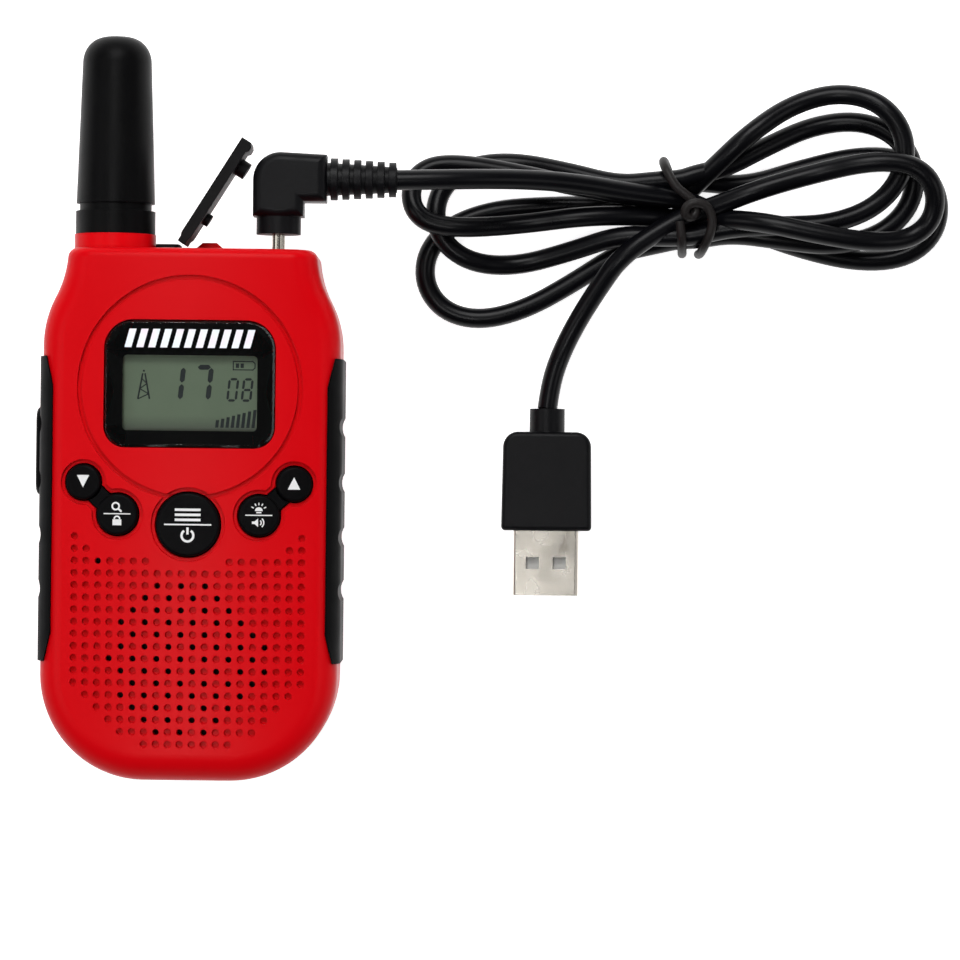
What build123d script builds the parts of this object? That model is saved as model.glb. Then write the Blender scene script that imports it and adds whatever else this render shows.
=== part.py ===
from build123d import *
from math import atan2, cos, degrees, hypot, pi, radians, sin, tan
import os

# A hand-held toy two-way radio lying on its back on its belt clip, with its charging lead plugged in.
# X runs across the front, Y along the aerial and Z out of the display. The origin is below the middle.

# ---------------------------------------------------------------- driving dimensions (mm)
# Case
case_half = 26.75          # half the width at the waist
neck_half = 22.4           # half the width at the top
case_length = 95.5
shoulder_length = 17.5     # length of the curve from the waist to the neck
corner_radius = 19.0       # the two bottom corners
case_depth = 25.5
case_rear_z = 8.5          # the belt clip stands the case this far off the table
crown_radius = 140.0       # the front face bulges gently from side to side
wall = 1.8
front_round = 5.0
rear_round = 3.0
top_round = 1.8
split_height = 12.75       # from the rear face to the joint between the two shells

# Aerial
aerial_inset = 7.8         # from the side of the neck to the aerial's middle
boss_radius = 7.35
boss_height = 2.8
collar_radius = 7.2
collar_height = 4.2
groove_radius = 6.5
groove_height = 1.4
sleeve_length = 30.3
sleeve_radius = 7.1
sleeve_tip_radius = 6.25
dome_height = 5.0
tip_flat_radius = 1.5
dome_fullness = 0.35       # how square the dome's shoulder is: lower is squarer
sleeve_wall = 2.9
coil_radius = 3.0
coil_wire = 0.45
coil_turns = 30
coil_gap = 0.2             # between the coil and the groove
stud_radius = 1.8
stud_inside = 8.5
stud_outside = 15.5
nut_flats = 8.0
nut_height = 2.2

# Display
display_y = 4.0            # middle of the lens, from the middle of the whole radio
lens_width = 30.6
lens_height = 22.8
lens_top_corner = 5.2
lens_bottom_corner = 3.8
lens_proud = 0.35
lens_seat_depth = 1.6
mask_thickness = 0.3
lens_bevel = 0.5
window_width = 24.1
window_height = 13.5
window_shift = -1.6        # the window sits low in the lens
window_corner = 0.8
bezel_depth = 3.4          # from the crown to the inner face of the frame round the window
glass_thickness = 2.0
glass_margin = 1.3
holder_wall = 1.6
ring_radius = 19.75
ring_drop = 0.7            # the ring's middle sits this much below the lens's
ring_width = 0.8
ring_depth = 0.85

# Keys
menu_y, menu_radius = -21.1, 5.7
pair_x, pair_y, pair_radius = 12.65, -19.4, 3.7
arrow_x, arrow_y, arrow_radius = 18.85, -13.7, 3.15
key_gap = 0.25
key_proud = 0.5
key_flange = 0.55
flange_thickness = 0.8
key_travel = 0.8
key_stem_radius = 1.5
key_edge = 0.5
neck_width = 3.3
neck_sunk = 0.05           # the web between two keys lies this much below the case
deck_depth = 4.2           # from the crown to the flat inner face round the keys
deck_rise = 1.0            # the deck reaches this much further towards the lens
recess_margin = 0.65
recess_depth = 0.7
mat_thickness = 0.8
mat_corner = 2.0
mat_past_keys = 2.1        # from the middle of an outer key to the mat's edge
dome_radius = 2.3
dome_thickness = 0.3

# Sound
hole_pitch, row_pitch = 2.14, 2.175
hole_radius, dimple_radius = 0.55, 0.62
dimple_depth = 1.0
grille_top_y = -23.4
grille_columns = 20
grille_rows = 18
speaker_row = 10
speaker_radius = 14.0
speaker_depth = 4.6
basket_rim, basket_wall, basket_taper = 1.6, 0.8, 3.0
cone_depth, cone_wall, cone_edge = 2.6, 0.4, 0.6
cap_radius = 4.0
seat_depth = 3.0           # from the crown to the flat seat of the speaker
seat_width = 1.6
cloth_thickness = 0.3
magnet_radius = 6.5
magnet_depth = 2.4
mic_radius = 2.9
mic_depth = 2.2
mic_boot_wall = 0.6
mic_seat_depth = 3.7       # from the crown to the flat seat of the microphone

# Board and battery
board_depth = 8.0          # from the crown to the front face of the board
board_thickness = 1.2
board_inset = 5.25         # from the side of the case to the edge of the board
board_bottom_y = -25.7
board_step_y = 4.3
board_neck_inset = 4.4
board_top_gap = 2.6
post_radius = 1.8
board_screw_inset, board_screw_low_y, board_screw_high_y = 1.5, -23.2, 1.5
can_width, can_height, can_depth = 24.0, 16.0, 2.5
can_wall, can_corner = 0.3, 1.0
can_y = -8.0
battery_width, battery_height, battery_depth = 34.5, 52.0, 5.6
battery_gap = 0.4
battery_rear_gap = 0.9     # the door's tabs pass under the battery
battery_foot_gap = 4.0     # room for the lamp's leads below the battery
battery_corner = 2.0
partition = 1.2
contact_width = 2.4
contact_pitch = 6.0
contact_rise = 1.0         # above the battery's rear face
door_half = 19.0
door_gap = 0.2
door_rim_z = 4.0           # height of the door's bottom edge above the rear face
door_ridges, ridge_pitch, ridge_length, ridge_width, ridge_depth = 4, 2.2, 12.0, 0.9, 0.5
ridge_y = 12.0             # middle of the thumb ridges, from the foot of the case
tab_width, tab_length, tab_root, tab_thickness = 5.0, 2.0, 1.2, 0.7

# Screws
case_screw_inset, case_screw_low_y, case_screw_high_y = 5.35, -45.2, 10.3
screw_radius = 0.9
screw_head_radius = 1.7
screw_head_height = 1.2
screw_boss_radius = 2.4
screw_recess = 2.4
case_screw_length = 15.0
small_screw_radius = 0.7
small_head_radius = 1.3
small_head_height = 0.8
small_screw_length = 3.4
thread_gap = 0.05
slot_width = 0.5           # the cross slots of the case screws

# Side grips and push-to-talk button
grip_low_y, grip_high_y = -45.9, 8.9
grip_edge_inset = 2.2
grip_end_inset = 0.95
grip_depth = 1.0
grip_proud = 0.5
grip_low_z = 3.5           # from the rear face
grip_corner = 5.2
grip_groove_radius = 3.1
grip_groove_depth = 0.5
grip_gap = 0.05
groove_steps = (-32.9, -23.2, -13.35, -3.3)
talk_y = -8.15
talk_length = 16.1
talk_width = 11.0
talk_proud = 1.35
talk_round = 3.0
talk_edge = 1.0
talk_travel = 0.8
talk_stem_radius, talk_stem_length = 1.2, 0.8
switch_size = 6.0
switch_length = 3.2
switch_nose_radius, switch_nose_length = 1.4, 0.6

# Ports on the top face
charge_inset, jack_spacing = 7.4, 11.2
charge_hole, earphone_hole = 2.1, 2.0
jack_gap = 0.1
charge_bore, earphone_bore = 1.25, 1.27
jack_depth = 9.0
jack_length = 10.3
charge_jack_width, earphone_jack_width = 9.0, 6.0
charge_jack_low, earphone_jack_low = 3.8, 3.2   # below the middle of the bores
jack_set_back = 0.3        # from the wall to the jacks' bodies
nose_sunk = 0.2            # the jacks' noses end this much below the top face
lug_x, lug_width, lug_height, lug_depth = 2.1, 7.0, 1.9, 4.0
lug_slope = 2.2            # run of each sloping end
lug_z = 4.2

# Port cover
hinge_x = -2.5
strap_start_x = -7.0
strap_height, strap_corner = 1.0, 1.0
hinge_height = 1.1
cover_angle = 58.0
cover_length = 22.2
cover_thickness = 2.0
cover_width = 8.5
cover_ramp = 0.6
crease_thickness = 1.5
crease_length = 1.0
crease_gap = 0.25
cover_plug_length = 1.8
earphone_plug_length = 1.0
cover_plug_radius = 1.6
lip_length, lip_height, lip_ramp = 1.6, 0.4, 0.4
tip_bevel, tip_bevel_drop = 0.7, 0.5
anchor_peg_radius, anchor_peg_reach = 1.0, 1.0

# Lamp in the bottom end
lamp_radius = 2.5
lamp_lens_radius = 3.0
lamp_lens_height = 1.4
lamp_length = 5.0
lamp_above_split = 3.9
lamp_sunk = 0.1
lamp_nose = 1.0

# Belt clip
clip_half = 7.8
clip_thickness = 2.6
clip_low_y, clip_high_y = -45.7, 20.3
clip_pin_y = 11.3
clip_pin_z = 4.6
clip_pin_radius = 1.2
pin_gap = 0.05
knuckle_radius = 2.35
spring_half = 2.6
spring_gap = 0.2
spring_wire = 0.65
clip_rib = 2.5
clip_tip_gap = 0.3
clip_corner, clip_top_corner = 6.0, 2.0
clip_rib_inset = 1.5
ear_thickness = 2.0
ear_gap = 0.3
ear_half_length = 3.4
bracket_thickness = 1.2
bracket_low_y, bracket_high_y = 1.8, 16.3
bracket_screw_x, bracket_screw_y = 5.0, 4.6
bracket_corner = 1.2
spring_leg = 7.0
spring_room = 0.5          # round the spring, inside the knuckle's gap

# Charging lead
cord_diameter = 3.7
plug_gap = 3.15            # bare barrel between the case and the plug
barrel_radius = 1.175
barrel_length = 10.5
barrel_edge = 0.3
plug_collar_radius = 4.05
plug_collar_height = 3.2
plug_stem_width = 9.2
plug_stem_height = 11.6
plug_stem_corner = 5.0
plug_edge = 1.6
plug_arm_radius = 4.25
plug_arm_drop = 4.65       # from the plug's top to the arm's middle
plug_arm_x = 23.7
relief_end_x = 36.4
relief_start_radius, relief_end_radius = 3.9, 3.1
relief_ribs = 6
rib_share, rib_place = 0.6, 0.62   # of the pitch: a rib's length and where its middle lies
relief_groove = 0.8
relief_root = 1.0          # the relief starts this far inside the arm
usb_x, usb_y, usb_z = 64.4, 0.8, 4.0
usb_boot_radius, usb_boot_length = 3.25, 4.3
usb_width, usb_length, usb_depth = 16.7, 18.3, 7.8
usb_taper = 0.25           # each side draws in by this much at the cord's end
usb_cord_corner, usb_shell_corner, usb_edge = 2.8, 0.7, 0.9
usb_root = 1.0             # the boot and the cord run this far into the body
usb_shell_width, usb_shell_depth, usb_shell_length = 12.0, 4.5, 12.0
usb_shell_wall, usb_metal_corner = 0.35, 0.65
usb_window_width, usb_window_length, usb_window_pitch = 2.4, 2.2, 5.0
usb_insert_thickness, usb_insert_sunk = 1.9, 0.6
hank_height = 9.0
hank_corner, hank_edge = 2.5, 1.8
tie_x = 88.5
tie_low_y, tie_high_y = 31.3, 44.9
tie_wire = 1.6
tie_corner = 3.0
tie_sunk = 0.2             # the tie's outside lies this far inside the hank's height
tie_length = 5.0
tie_gap = 0.1

# ---------------------------------------------------------------- places worked out from them
total_length = case_length + boss_height + collar_height + groove_height + sleeve_length
aerial_x = aerial_inset - neck_half
charge_x = neck_half - charge_inset
earphone_x = charge_x - jack_spacing
case_screw_x = case_half - case_screw_inset
board_half = case_half - board_inset
board_neck_half = neck_half - board_neck_inset
board_screw_x = board_half - board_screw_inset
grip_edge_x = case_half - grip_edge_inset
grip_end_x = case_half - grip_end_inset
foot_y = -total_length / 2
top_y = foot_y + case_length
crown_z = case_rear_z + case_depth
split_z = case_rear_z + split_height
inner_top_y = top_y - wall
boss_y = top_y + boss_height
collar_y = boss_y + collar_height
sleeve_y = collar_y + groove_height
tip_y = sleeve_y + sleeve_length
foot_half = case_half - corner_radius
shoulder_y = top_y - shoulder_length
shoulder_drop = case_half - neck_half
shoulder_turn = 2 * degrees(atan2(shoulder_drop, shoulder_length))
shoulder_radius = shoulder_length / 2 / sin(radians(shoulder_turn))
seat_z = crown_z - lens_seat_depth
bezel_z = crown_z - bezel_depth
deck_z = crown_z - deck_depth
board_z = crown_z - board_depth
board_rear_z = board_z - board_thickness
board_top_y = inner_top_y - board_top_gap
speaker_z = crown_z - seat_depth
mic_z = crown_z - mic_seat_depth
speaker_y = grille_top_y - speaker_row * row_pitch
door_z = case_rear_z + door_rim_z
battery_z = case_rear_z + wall + battery_rear_gap
partition_z = battery_z + battery_depth + battery_gap
battery_low_y = foot_y + wall + battery_gap + battery_foot_gap
battery_y = battery_low_y + battery_height / 2
battery_top_y = battery_low_y + battery_height
door_top_y = battery_top_y + battery_gap + tab_root
mic_x = -(grille_columns - 1) / 2 * hole_pitch + 2 * hole_pitch
mic_y = grille_top_y - 2 * row_pitch
dome_z = board_z + dome_thickness
window_y = display_y + window_shift
talk_x = -(case_half + talk_proud)
inner_half = case_half - wall
gap_z = 100.0              # longer than anything that is cut through


# ---------------------------------------------------------------- shared forms
def crown_block(inset):
    """A long round block whose top is the front face, moved in by inset."""
    with BuildPart() as block:
        with BuildSketch(Plane.XZ):
            with Locations((0, crown_z - crown_radius)):
                Circle(crown_radius - inset)
        extrude(amount=total_length, both=True)
    return block.part


def case_form(inset):
    """The case's rounded outer form, moved in by inset on every side."""
    crown = crown_block(inset)
    with BuildPart() as form:
        with BuildSketch(Plane.XY.offset(case_rear_z + inset)):
            with BuildLine():
                base = Line((0, foot_y), (foot_half, foot_y))
                corner = JernArc(base @ 1, base % 1, corner_radius, 90)
                side = Line(corner @ 1, (case_half, shoulder_y))
                lower = JernArc(side @ 1, side % 1, shoulder_radius, shoulder_turn)
                upper = JernArc(lower @ 1, lower % 1, shoulder_radius, -shoulder_turn)
                Line(upper @ 1, (0, top_y))
                mirror(about=Plane.YZ)
            make_face()
            if inset:
                offset(amount=-inset, kind=Kind.INTERSECTION)
        extrude(amount=case_depth + wall)
        add(crown, mode=Mode.INTERSECT)
        front = form.faces().sort_by(Axis.Z)[-1]
        fillet(front.edges().sort_by(Axis.Y)[:-1], front_round - inset)
        rear = form.faces().sort_by(Axis.Z)[0]
        fillet(rear.edges().sort_by(Axis.Y)[:-1], rear_round - inset)
        if inset < top_round:
            fillet(form.faces().sort_by(Axis.Y)[-1].edges(), top_round - inset)
    return form.part


def plate(x, y, z, width, height, thickness, corner=0.0):
    """A plate with rounded corners, its lower face at z."""
    with BuildPart() as made:
        with BuildSketch(Plane.XY.offset(z)):
            with Locations((x, y)):
                if corner:
                    RectangleRounded(width, height, corner)
                else:
                    Rectangle(width, height)
        extrude(amount=thickness)
    return made.part


def disc(x, y, z, radius, thickness, bore=0.0):
    """A round disc or ring along Z, its lower face at z."""
    with BuildPart() as made:
        with BuildSketch(Plane.XY.offset(z)):
            with Locations((x, y)):
                Circle(radius)
                if bore:
                    Circle(bore, mode=Mode.SUBTRACT)
        extrude(amount=thickness)
    return made.part


def rod(x, y, z, radius, length, bore=0.0):
    """A round rod or tube along Y, its lower end at y."""
    with BuildPart() as made:
        with BuildSketch(Plane.XZ.offset(-y)):
            with Locations((x, z)):
                Circle(radius)
                if bore:
                    Circle(bore, mode=Mode.SUBTRACT)
        extrude(amount=-length)
    return made.part


def save(made, name):
    """Label a finished piece and write it."""
    made.part.label = name
    export_step(made.part, f"parts/{name}.step")


os.makedirs("parts", exist_ok=True)
case_block = case_form(0)
case_room = case_form(wall)
grip_floor = case_form(grip_depth)
grip_inner = case_form(grip_depth - grip_gap)
grip_outer = case_form(-grip_proud)
ring_floor = crown_block(ring_depth)
recess_floor = crown_block(recess_depth)
dimple_floor = crown_block(dimple_depth)
lens_top = crown_block(-lens_proud)
neck_top = crown_block(neck_sunk)
key_top = crown_block(-key_proud)


# ---------------------------------------------------------------- plan shapes
def lens_plan(grow):
    """The lens outline, grown by a margin: rounder corners at the top."""
    with BuildSketch() as plan:
        with Locations((0, display_y)):
            Rectangle(lens_width, lens_height)
        corners = plan.vertices().group_by(Axis.Y)
        fillet(corners[0], lens_bottom_corner)
        fillet(plan.vertices().group_by(Axis.Y)[-1], lens_top_corner)
        if grow:
            offset(amount=grow)
    return plan.sketch


def pair_plan(side, grow):
    """The opening for an arrow key and its neighbour: two rounds joined by a neck."""
    reach = hypot(arrow_x - pair_x, arrow_y - pair_y)
    turn = degrees(atan2(arrow_y - pair_y, side * (arrow_x - pair_x)))
    middle = (side * (arrow_x + pair_x) / 2, (arrow_y + pair_y) / 2)
    with BuildSketch() as plan:
        with Locations((side * pair_x, pair_y)):
            Circle(pair_radius + grow)
        with Locations((side * arrow_x, arrow_y)):
            Circle(arrow_radius + grow)
        with Locations(Location(middle, turn)):
            Rectangle(reach, neck_width + 2 * grow)
    return plan.sketch


def grip_plan(side, gap):
    """The region of one side grip, seen from the front, with its edge moved in by a gap."""
    outside = case_half + talk_proud + grip_proud
    with BuildSketch() as plan:
        with BuildLine():
            Polyline(
                (side * (grip_edge_x + gap), grip_low_y + grip_corner + gap),
                (side * (grip_edge_x + gap), grip_high_y - grip_corner - gap),
                (side * (grip_end_x + gap), grip_high_y - gap),
                (side * outside, grip_high_y - gap),
                (side * outside, grip_low_y + gap),
                (side * (grip_end_x + gap), grip_low_y + gap),
                close=True,
            )
        make_face()
    return plan.sketch


def grip_pocket(side):
    """The room cut into the case for one side grip."""
    with BuildPart() as pocket:
        with BuildSketch(Plane.XY.offset(case_rear_z + grip_low_z)):
            add(grip_plan(side, 0))
        extrude(amount=case_depth)
        add(grip_floor, mode=Mode.SUBTRACT)
    return pocket.part


def hole_places(kind):
    """Places of the grille's marks: kind is 'hole' for a through hole and 'dimple' for a blind one."""
    trims = {0: (0, 0), 1: (0, 1), 2: (0, 6), 13: (1, 9), 14: (2, 9), 15: (3, 9), 16: (4, 9), 17: (6, 9)}
    reach = 6.7
    places = []
    for row in range(grille_rows):
        first, last = trims.get(row, (0, 9))
        for column in range(grille_columns):
            step = min(column, grille_columns - 1 - column)
            if not first <= step <= last:
                continue
            near = hypot(row - speaker_row, column - (grille_columns - 1) / 2) < reach
            through = (near and (row + column) % 2 == 1) or (row, column) == (2, 2)
            if through == (kind == "hole"):
                x = (column - (grille_columns - 1) / 2) * hole_pitch
                places.append((x, grille_top_y - row * row_pitch))
    return places


grip_pockets = [grip_pocket(side) for side in (-1, 1)]
case_screw_places = [
    (side * case_screw_x, y) for side in (-1, 1) for y in (case_screw_low_y, case_screw_high_y)
]
board_screw_places = [
    (side * board_screw_x, y) for side in (-1, 1) for y in (board_screw_low_y, board_screw_high_y)
]
bracket_screw_places = [(side * bracket_screw_x, bracket_screw_y) for side in (-1, 1)]
keys = {
    "down_key": (-arrow_x, arrow_y, arrow_radius),
    "scan_key": (-pair_x, pair_y, pair_radius),
    "menu_key": (0.0, menu_y, menu_radius),
    "lamp_key": (pair_x, pair_y, pair_radius),
    "up_key": (arrow_x, arrow_y, arrow_radius),
}

# ---------------------------------------------------------------- the case, before it is cut into shells
# The room inside, less everything that the shells carry: decks, seats, posts and walls.
screw_tip_z = case_rear_z + screw_recess + screw_head_height + case_screw_length
with BuildPart() as room:
    add(case_room)
    with BuildSketch(Plane.XY.offset(bezel_z)):
        add(lens_plan(wall))
    extrude(amount=case_depth, mode=Mode.SUBTRACT)
    with BuildSketch(Plane.XY.offset(deck_z)):
        with Locations((0, (pair_y + arrow_y) / 2 + deck_rise)):
            Rectangle(2 * case_half, arrow_y - pair_y + 2 * (pair_radius + key_flange))
        with Locations((0, menu_y)):
            Circle(menu_radius + key_flange + wall / 2)
    extrude(amount=case_depth, mode=Mode.SUBTRACT)
    with BuildSketch(Plane.XY.offset(speaker_z)):
        with Locations((0, speaker_y)):
            Circle(speaker_radius + seat_width / 2)
            Circle(speaker_radius - seat_width, mode=Mode.SUBTRACT)
    extrude(amount=case_depth, mode=Mode.SUBTRACT)
    with BuildSketch(Plane.XY.offset(mic_z)):
        with Locations((mic_x, mic_y)):
            Circle(mic_radius + mic_boot_wall)
    extrude(amount=case_depth, mode=Mode.SUBTRACT)
    with BuildSketch(Plane.XY.offset(board_z)):
        with Locations(*board_screw_places):
            Circle(post_radius)
    extrude(amount=case_depth, mode=Mode.SUBTRACT)
    with BuildSketch(Plane.XY.offset(case_rear_z)):
        with Locations(*case_screw_places):
            Circle(screw_boss_radius)
    extrude(amount=case_depth, mode=Mode.SUBTRACT)
    with BuildSketch(Plane.XY.offset(partition_z)):
        with Locations((0, foot_y)):
            Rectangle(2 * case_half, 2 * (door_top_y + partition - foot_y))
    extrude(amount=partition, mode=Mode.SUBTRACT)
    with BuildSketch(Plane.XY.offset(case_rear_z)):
        with Locations((0, door_top_y + partition / 2)):
            Rectangle(2 * case_half, partition)
    extrude(amount=partition_z - case_rear_z, mode=Mode.SUBTRACT)
    # Nothing stands where the microphone's boot sits.
    with BuildSketch(Plane.XY.offset(mic_z - mic_depth - mic_boot_wall)):
        with Locations((mic_x, mic_y)):
            Circle(mic_radius + mic_boot_wall)
    extrude(amount=mic_depth + mic_boot_wall)
    # Nothing stands where the push-to-talk button's flange moves.
    with BuildSketch(Plane.YZ.offset(-inner_half)):
        with Locations((talk_y, split_z)):
            Rectangle(talk_length + 2 * (key_flange + key_gap), talk_width + 2 * (key_flange + key_gap))
    extrude(amount=flange_thickness + talk_travel + 2 * key_gap)

with BuildPart() as case_walls:
    add(case_block)
    # Boss for the aerial, and the lanyard lug behind the ports.
    add(rod(aerial_x, top_y - wall, split_z, boss_radius, wall + boss_height))
    with BuildSketch(Plane.XY.offset(case_rear_z + lug_z - lug_depth / 2)):
        with BuildLine():
            Polyline(
                (lug_x - lug_width / 2, top_y - wall),
                (lug_x - lug_width / 2, top_y),
                (lug_x - lug_width / 2 + lug_slope, top_y + lug_height),
                (lug_x + lug_width / 2 - lug_slope, top_y + lug_height),
                (lug_x + lug_width / 2, top_y),
                (lug_x + lug_width / 2, top_y - wall),
                close=True,
            )
        make_face()
    extrude(amount=lug_depth)
    add(room.part, mode=Mode.SUBTRACT)
    # Holes in the top: aerial stud, two jacks and the peg of the port cover.
    peg_x = (strap_start_x + hinge_x) / 2
    for x, radius in (
        (aerial_x, stud_radius + jack_gap),
        (charge_x, charge_hole),
        (earphone_x, earphone_hole),
        (peg_x, anchor_peg_radius + jack_gap),
    ):
        add(rod(x, top_y - 2 * wall, split_z, radius, 2 * wall + 2 * boss_height), mode=Mode.SUBTRACT)
    # Lamp hole in the bottom.
    lamp_z = split_z + lamp_above_split
    add(rod(0, foot_y - wall, lamp_z, lamp_lens_radius + jack_gap, 3 * wall), mode=Mode.SUBTRACT)
    # Pockets for the grips and the hole for the push-to-talk button.
    for pocket in grip_pockets:
        add(pocket, mode=Mode.SUBTRACT)
    with BuildSketch(Plane.YZ.offset(talk_x)):
        with Locations((talk_y, split_z)):
            RectangleRounded(talk_length + 2 * key_gap, talk_width + 2 * key_gap, talk_round)
    extrude(amount=talk_proud + 2 * wall, mode=Mode.SUBTRACT)

# ---------------------------------------------------------------- front shell
with BuildPart() as ring_cut:
    with BuildSketch(Plane.XY.offset(split_z)):
        with Locations((0, display_y - ring_drop)):
            Circle(ring_radius + ring_width / 2)
            Circle(ring_radius - ring_width / 2, mode=Mode.SUBTRACT)
    extrude(amount=case_depth)
    add(ring_floor, mode=Mode.SUBTRACT)

with BuildPart() as recess_cut:
    with BuildSketch(Plane.XY.offset(split_z)):
        for side in (-1, 1):
            add(pair_plan(side, key_gap + recess_margin))
        with Locations((0, menu_y)):
            Circle(menu_radius + key_gap + recess_margin)
    extrude(amount=case_depth)
    add(recess_floor, mode=Mode.SUBTRACT)

with BuildPart() as dimple_cut:
    with BuildSketch(Plane.XY.offset(split_z)):
        with Locations(*hole_places("dimple")):
            Circle(dimple_radius)
    extrude(amount=case_depth)
    add(dimple_floor, mode=Mode.SUBTRACT)

with BuildPart() as front_shell:
    add(case_walls.part)
    split(bisect_by=Plane.XY.offset(split_z), keep=Keep.TOP)
    with BuildSketch(Plane.XY.offset(seat_z)):
        add(lens_plan(grip_gap))
    extrude(amount=case_depth, mode=Mode.SUBTRACT)
    with BuildSketch(Plane.XY.offset(split_z)):
        with Locations((0, window_y)):
            Rectangle(window_width + holder_wall, window_height + holder_wall)
        for side in (-1, 1):
            add(pair_plan(side, key_gap))
        with Locations((0, menu_y)):
            Circle(menu_radius + key_gap)
        with Locations(*hole_places("hole")):
            Circle(hole_radius)
    extrude(amount=case_depth, mode=Mode.SUBTRACT)
    with BuildSketch(Plane.XY.offset(split_z)):
        with Locations(*case_screw_places):
            Circle(screw_radius + thread_gap)
    extrude(amount=screw_tip_z + wall / 2 - split_z, mode=Mode.SUBTRACT)
    with BuildSketch(Plane.XY.offset(board_z)):
        with Locations(*board_screw_places):
            Circle(small_screw_radius + thread_gap)
    extrude(amount=small_screw_length, mode=Mode.SUBTRACT)
    for cut in (ring_cut, recess_cut, dimple_cut):
        add(cut.part, mode=Mode.SUBTRACT)
save(front_shell, "front_shell")

# ---------------------------------------------------------------- rear shell and battery door
with BuildPart() as rear_shell:
    add(case_walls.part)
    split(bisect_by=Plane.XY.offset(split_z), keep=Keep.BOTTOM)
    with BuildSketch(Plane.XY):
        with Locations((0, foot_y)):
            Rectangle(2 * door_half, 2 * (door_top_y - foot_y))
    extrude(amount=door_z, mode=Mode.SUBTRACT)
    with BuildSketch(Plane.XY):
        with Locations(*case_screw_places):
            Circle(screw_radius + jack_gap)
        with Locations(*bracket_screw_places):
            Circle(small_screw_radius + thread_gap)
    extrude(amount=split_z, mode=Mode.SUBTRACT)
    with BuildSketch(Plane.XY):
        with Locations(*case_screw_places):
            Circle(screw_head_radius + jack_gap)
    extrude(amount=case_rear_z + screw_recess + screw_head_height, mode=Mode.SUBTRACT)
    # Slots through the compartment's top wall: two for the door's tabs, three for the contacts.
    with BuildSketch(Plane.XY.offset(case_rear_z + wall)):
        for side in (-1, 1):
            with Locations((side * door_half / 2, door_top_y + partition / 2)):
                Rectangle(tab_width + 2 * door_gap, 2 * partition)
    extrude(amount=tab_thickness + door_gap, mode=Mode.SUBTRACT)
    with BuildSketch(Plane.XY.offset(battery_z + contact_rise)):
        for step in (-1, 0, 1):
            with Locations((step * contact_pitch, door_top_y + partition / 2)):
                Rectangle(contact_width + 2 * door_gap, 2 * partition)
    extrude(amount=contact_width + 2 * door_gap, mode=Mode.SUBTRACT)
save(rear_shell, "rear_shell")

with BuildPart() as battery_door:
    add(case_block)
    add(case_room, mode=Mode.SUBTRACT)
    with BuildSketch(Plane.XY):
        with Locations((0, foot_y)):
            Rectangle(2 * (door_half - door_gap), 2 * (door_top_y - door_gap - foot_y))
    extrude(amount=door_z - door_gap, mode=Mode.INTERSECT)
    with BuildSketch(Plane.XY.offset(case_rear_z + wall)):
        for side in (-1, 1):
            with Locations((side * door_half / 2, door_top_y + (tab_length - tab_root) / 2)):
                Rectangle(tab_width, tab_length + tab_root)
    extrude(amount=tab_thickness)
    # Thumb ridges at the lower end.
    with BuildSketch(Plane.XY.offset(case_rear_z)):
        with Locations((0, foot_y + ridge_y)):
            with GridLocations(0, ridge_pitch, 1, door_ridges):
                SlotOverall(ridge_length, ridge_width)
    extrude(amount=ridge_depth, mode=Mode.SUBTRACT)
save(battery_door, "battery_door")

# ---------------------------------------------------------------- side grips and push-to-talk
for side, name in ((-1, "left_grip"), (1, "right_grip")):
    with BuildPart() as grip:
        add(grip_outer)
        add(grip_inner, mode=Mode.SUBTRACT)
        with BuildSketch(Plane.XY.offset(case_rear_z + grip_low_z + grip_gap)):
            add(grip_plan(side, grip_gap))
        extrude(amount=case_depth, mode=Mode.INTERSECT)
        groove_x = case_half + grip_proud - grip_groove_depth + grip_groove_radius
        with BuildSketch(Plane.XY):
            with Locations(*[(side * groove_x, y) for y in groove_steps]):
                Circle(grip_groove_radius)
        extrude(amount=gap_z, mode=Mode.SUBTRACT)
        if side < 0:
            with BuildSketch(Plane.YZ.offset(talk_x)):
                with Locations((talk_y, split_z)):
                    RectangleRounded(talk_length + 2 * key_gap, talk_width + 2 * key_gap, talk_round)
            extrude(amount=talk_proud + 2 * wall, mode=Mode.SUBTRACT)
    save(grip, name)

with BuildPart() as ptt_button:
    flange_x = -inner_half + jack_gap
    with BuildSketch(Plane.YZ.offset(talk_x)):
        with Locations((talk_y, split_z)):
            RectangleRounded(talk_length, talk_width, talk_round - key_gap)
    extrude(amount=flange_x - talk_x)
    fillet(ptt_button.faces().sort_by(Axis.X)[0].edges(), talk_edge)
    with BuildSketch(Plane.YZ.offset(flange_x)):
        with Locations((talk_y, split_z)):
            RectangleRounded(talk_length + 2 * key_flange, talk_width + 2 * key_flange, talk_round)
    extrude(amount=flange_thickness)
    with BuildSketch(Plane.YZ.offset(flange_x + flange_thickness)):
        with Locations((talk_y, board_rear_z - switch_size / 3)):
            Circle(talk_stem_radius)
    extrude(amount=talk_stem_length)
save(ptt_button, "ptt_button")

with BuildPart() as ptt_switch:
    switch_x = flange_x + flange_thickness + talk_stem_length + talk_travel + jack_gap
    with BuildSketch(Plane.YZ.offset(switch_x + switch_nose_length)):
        with Locations((talk_y, board_rear_z - switch_size / 3)):
            Rectangle(switch_size, 2 * switch_size / 3)
    extrude(amount=switch_length)
    with BuildSketch(Plane.YZ.offset(switch_x)):
        with Locations((talk_y, board_rear_z - switch_size / 3)):
            Circle(switch_nose_radius)
    extrude(amount=switch_nose_length)
save(ptt_switch, "ptt_switch")

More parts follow.
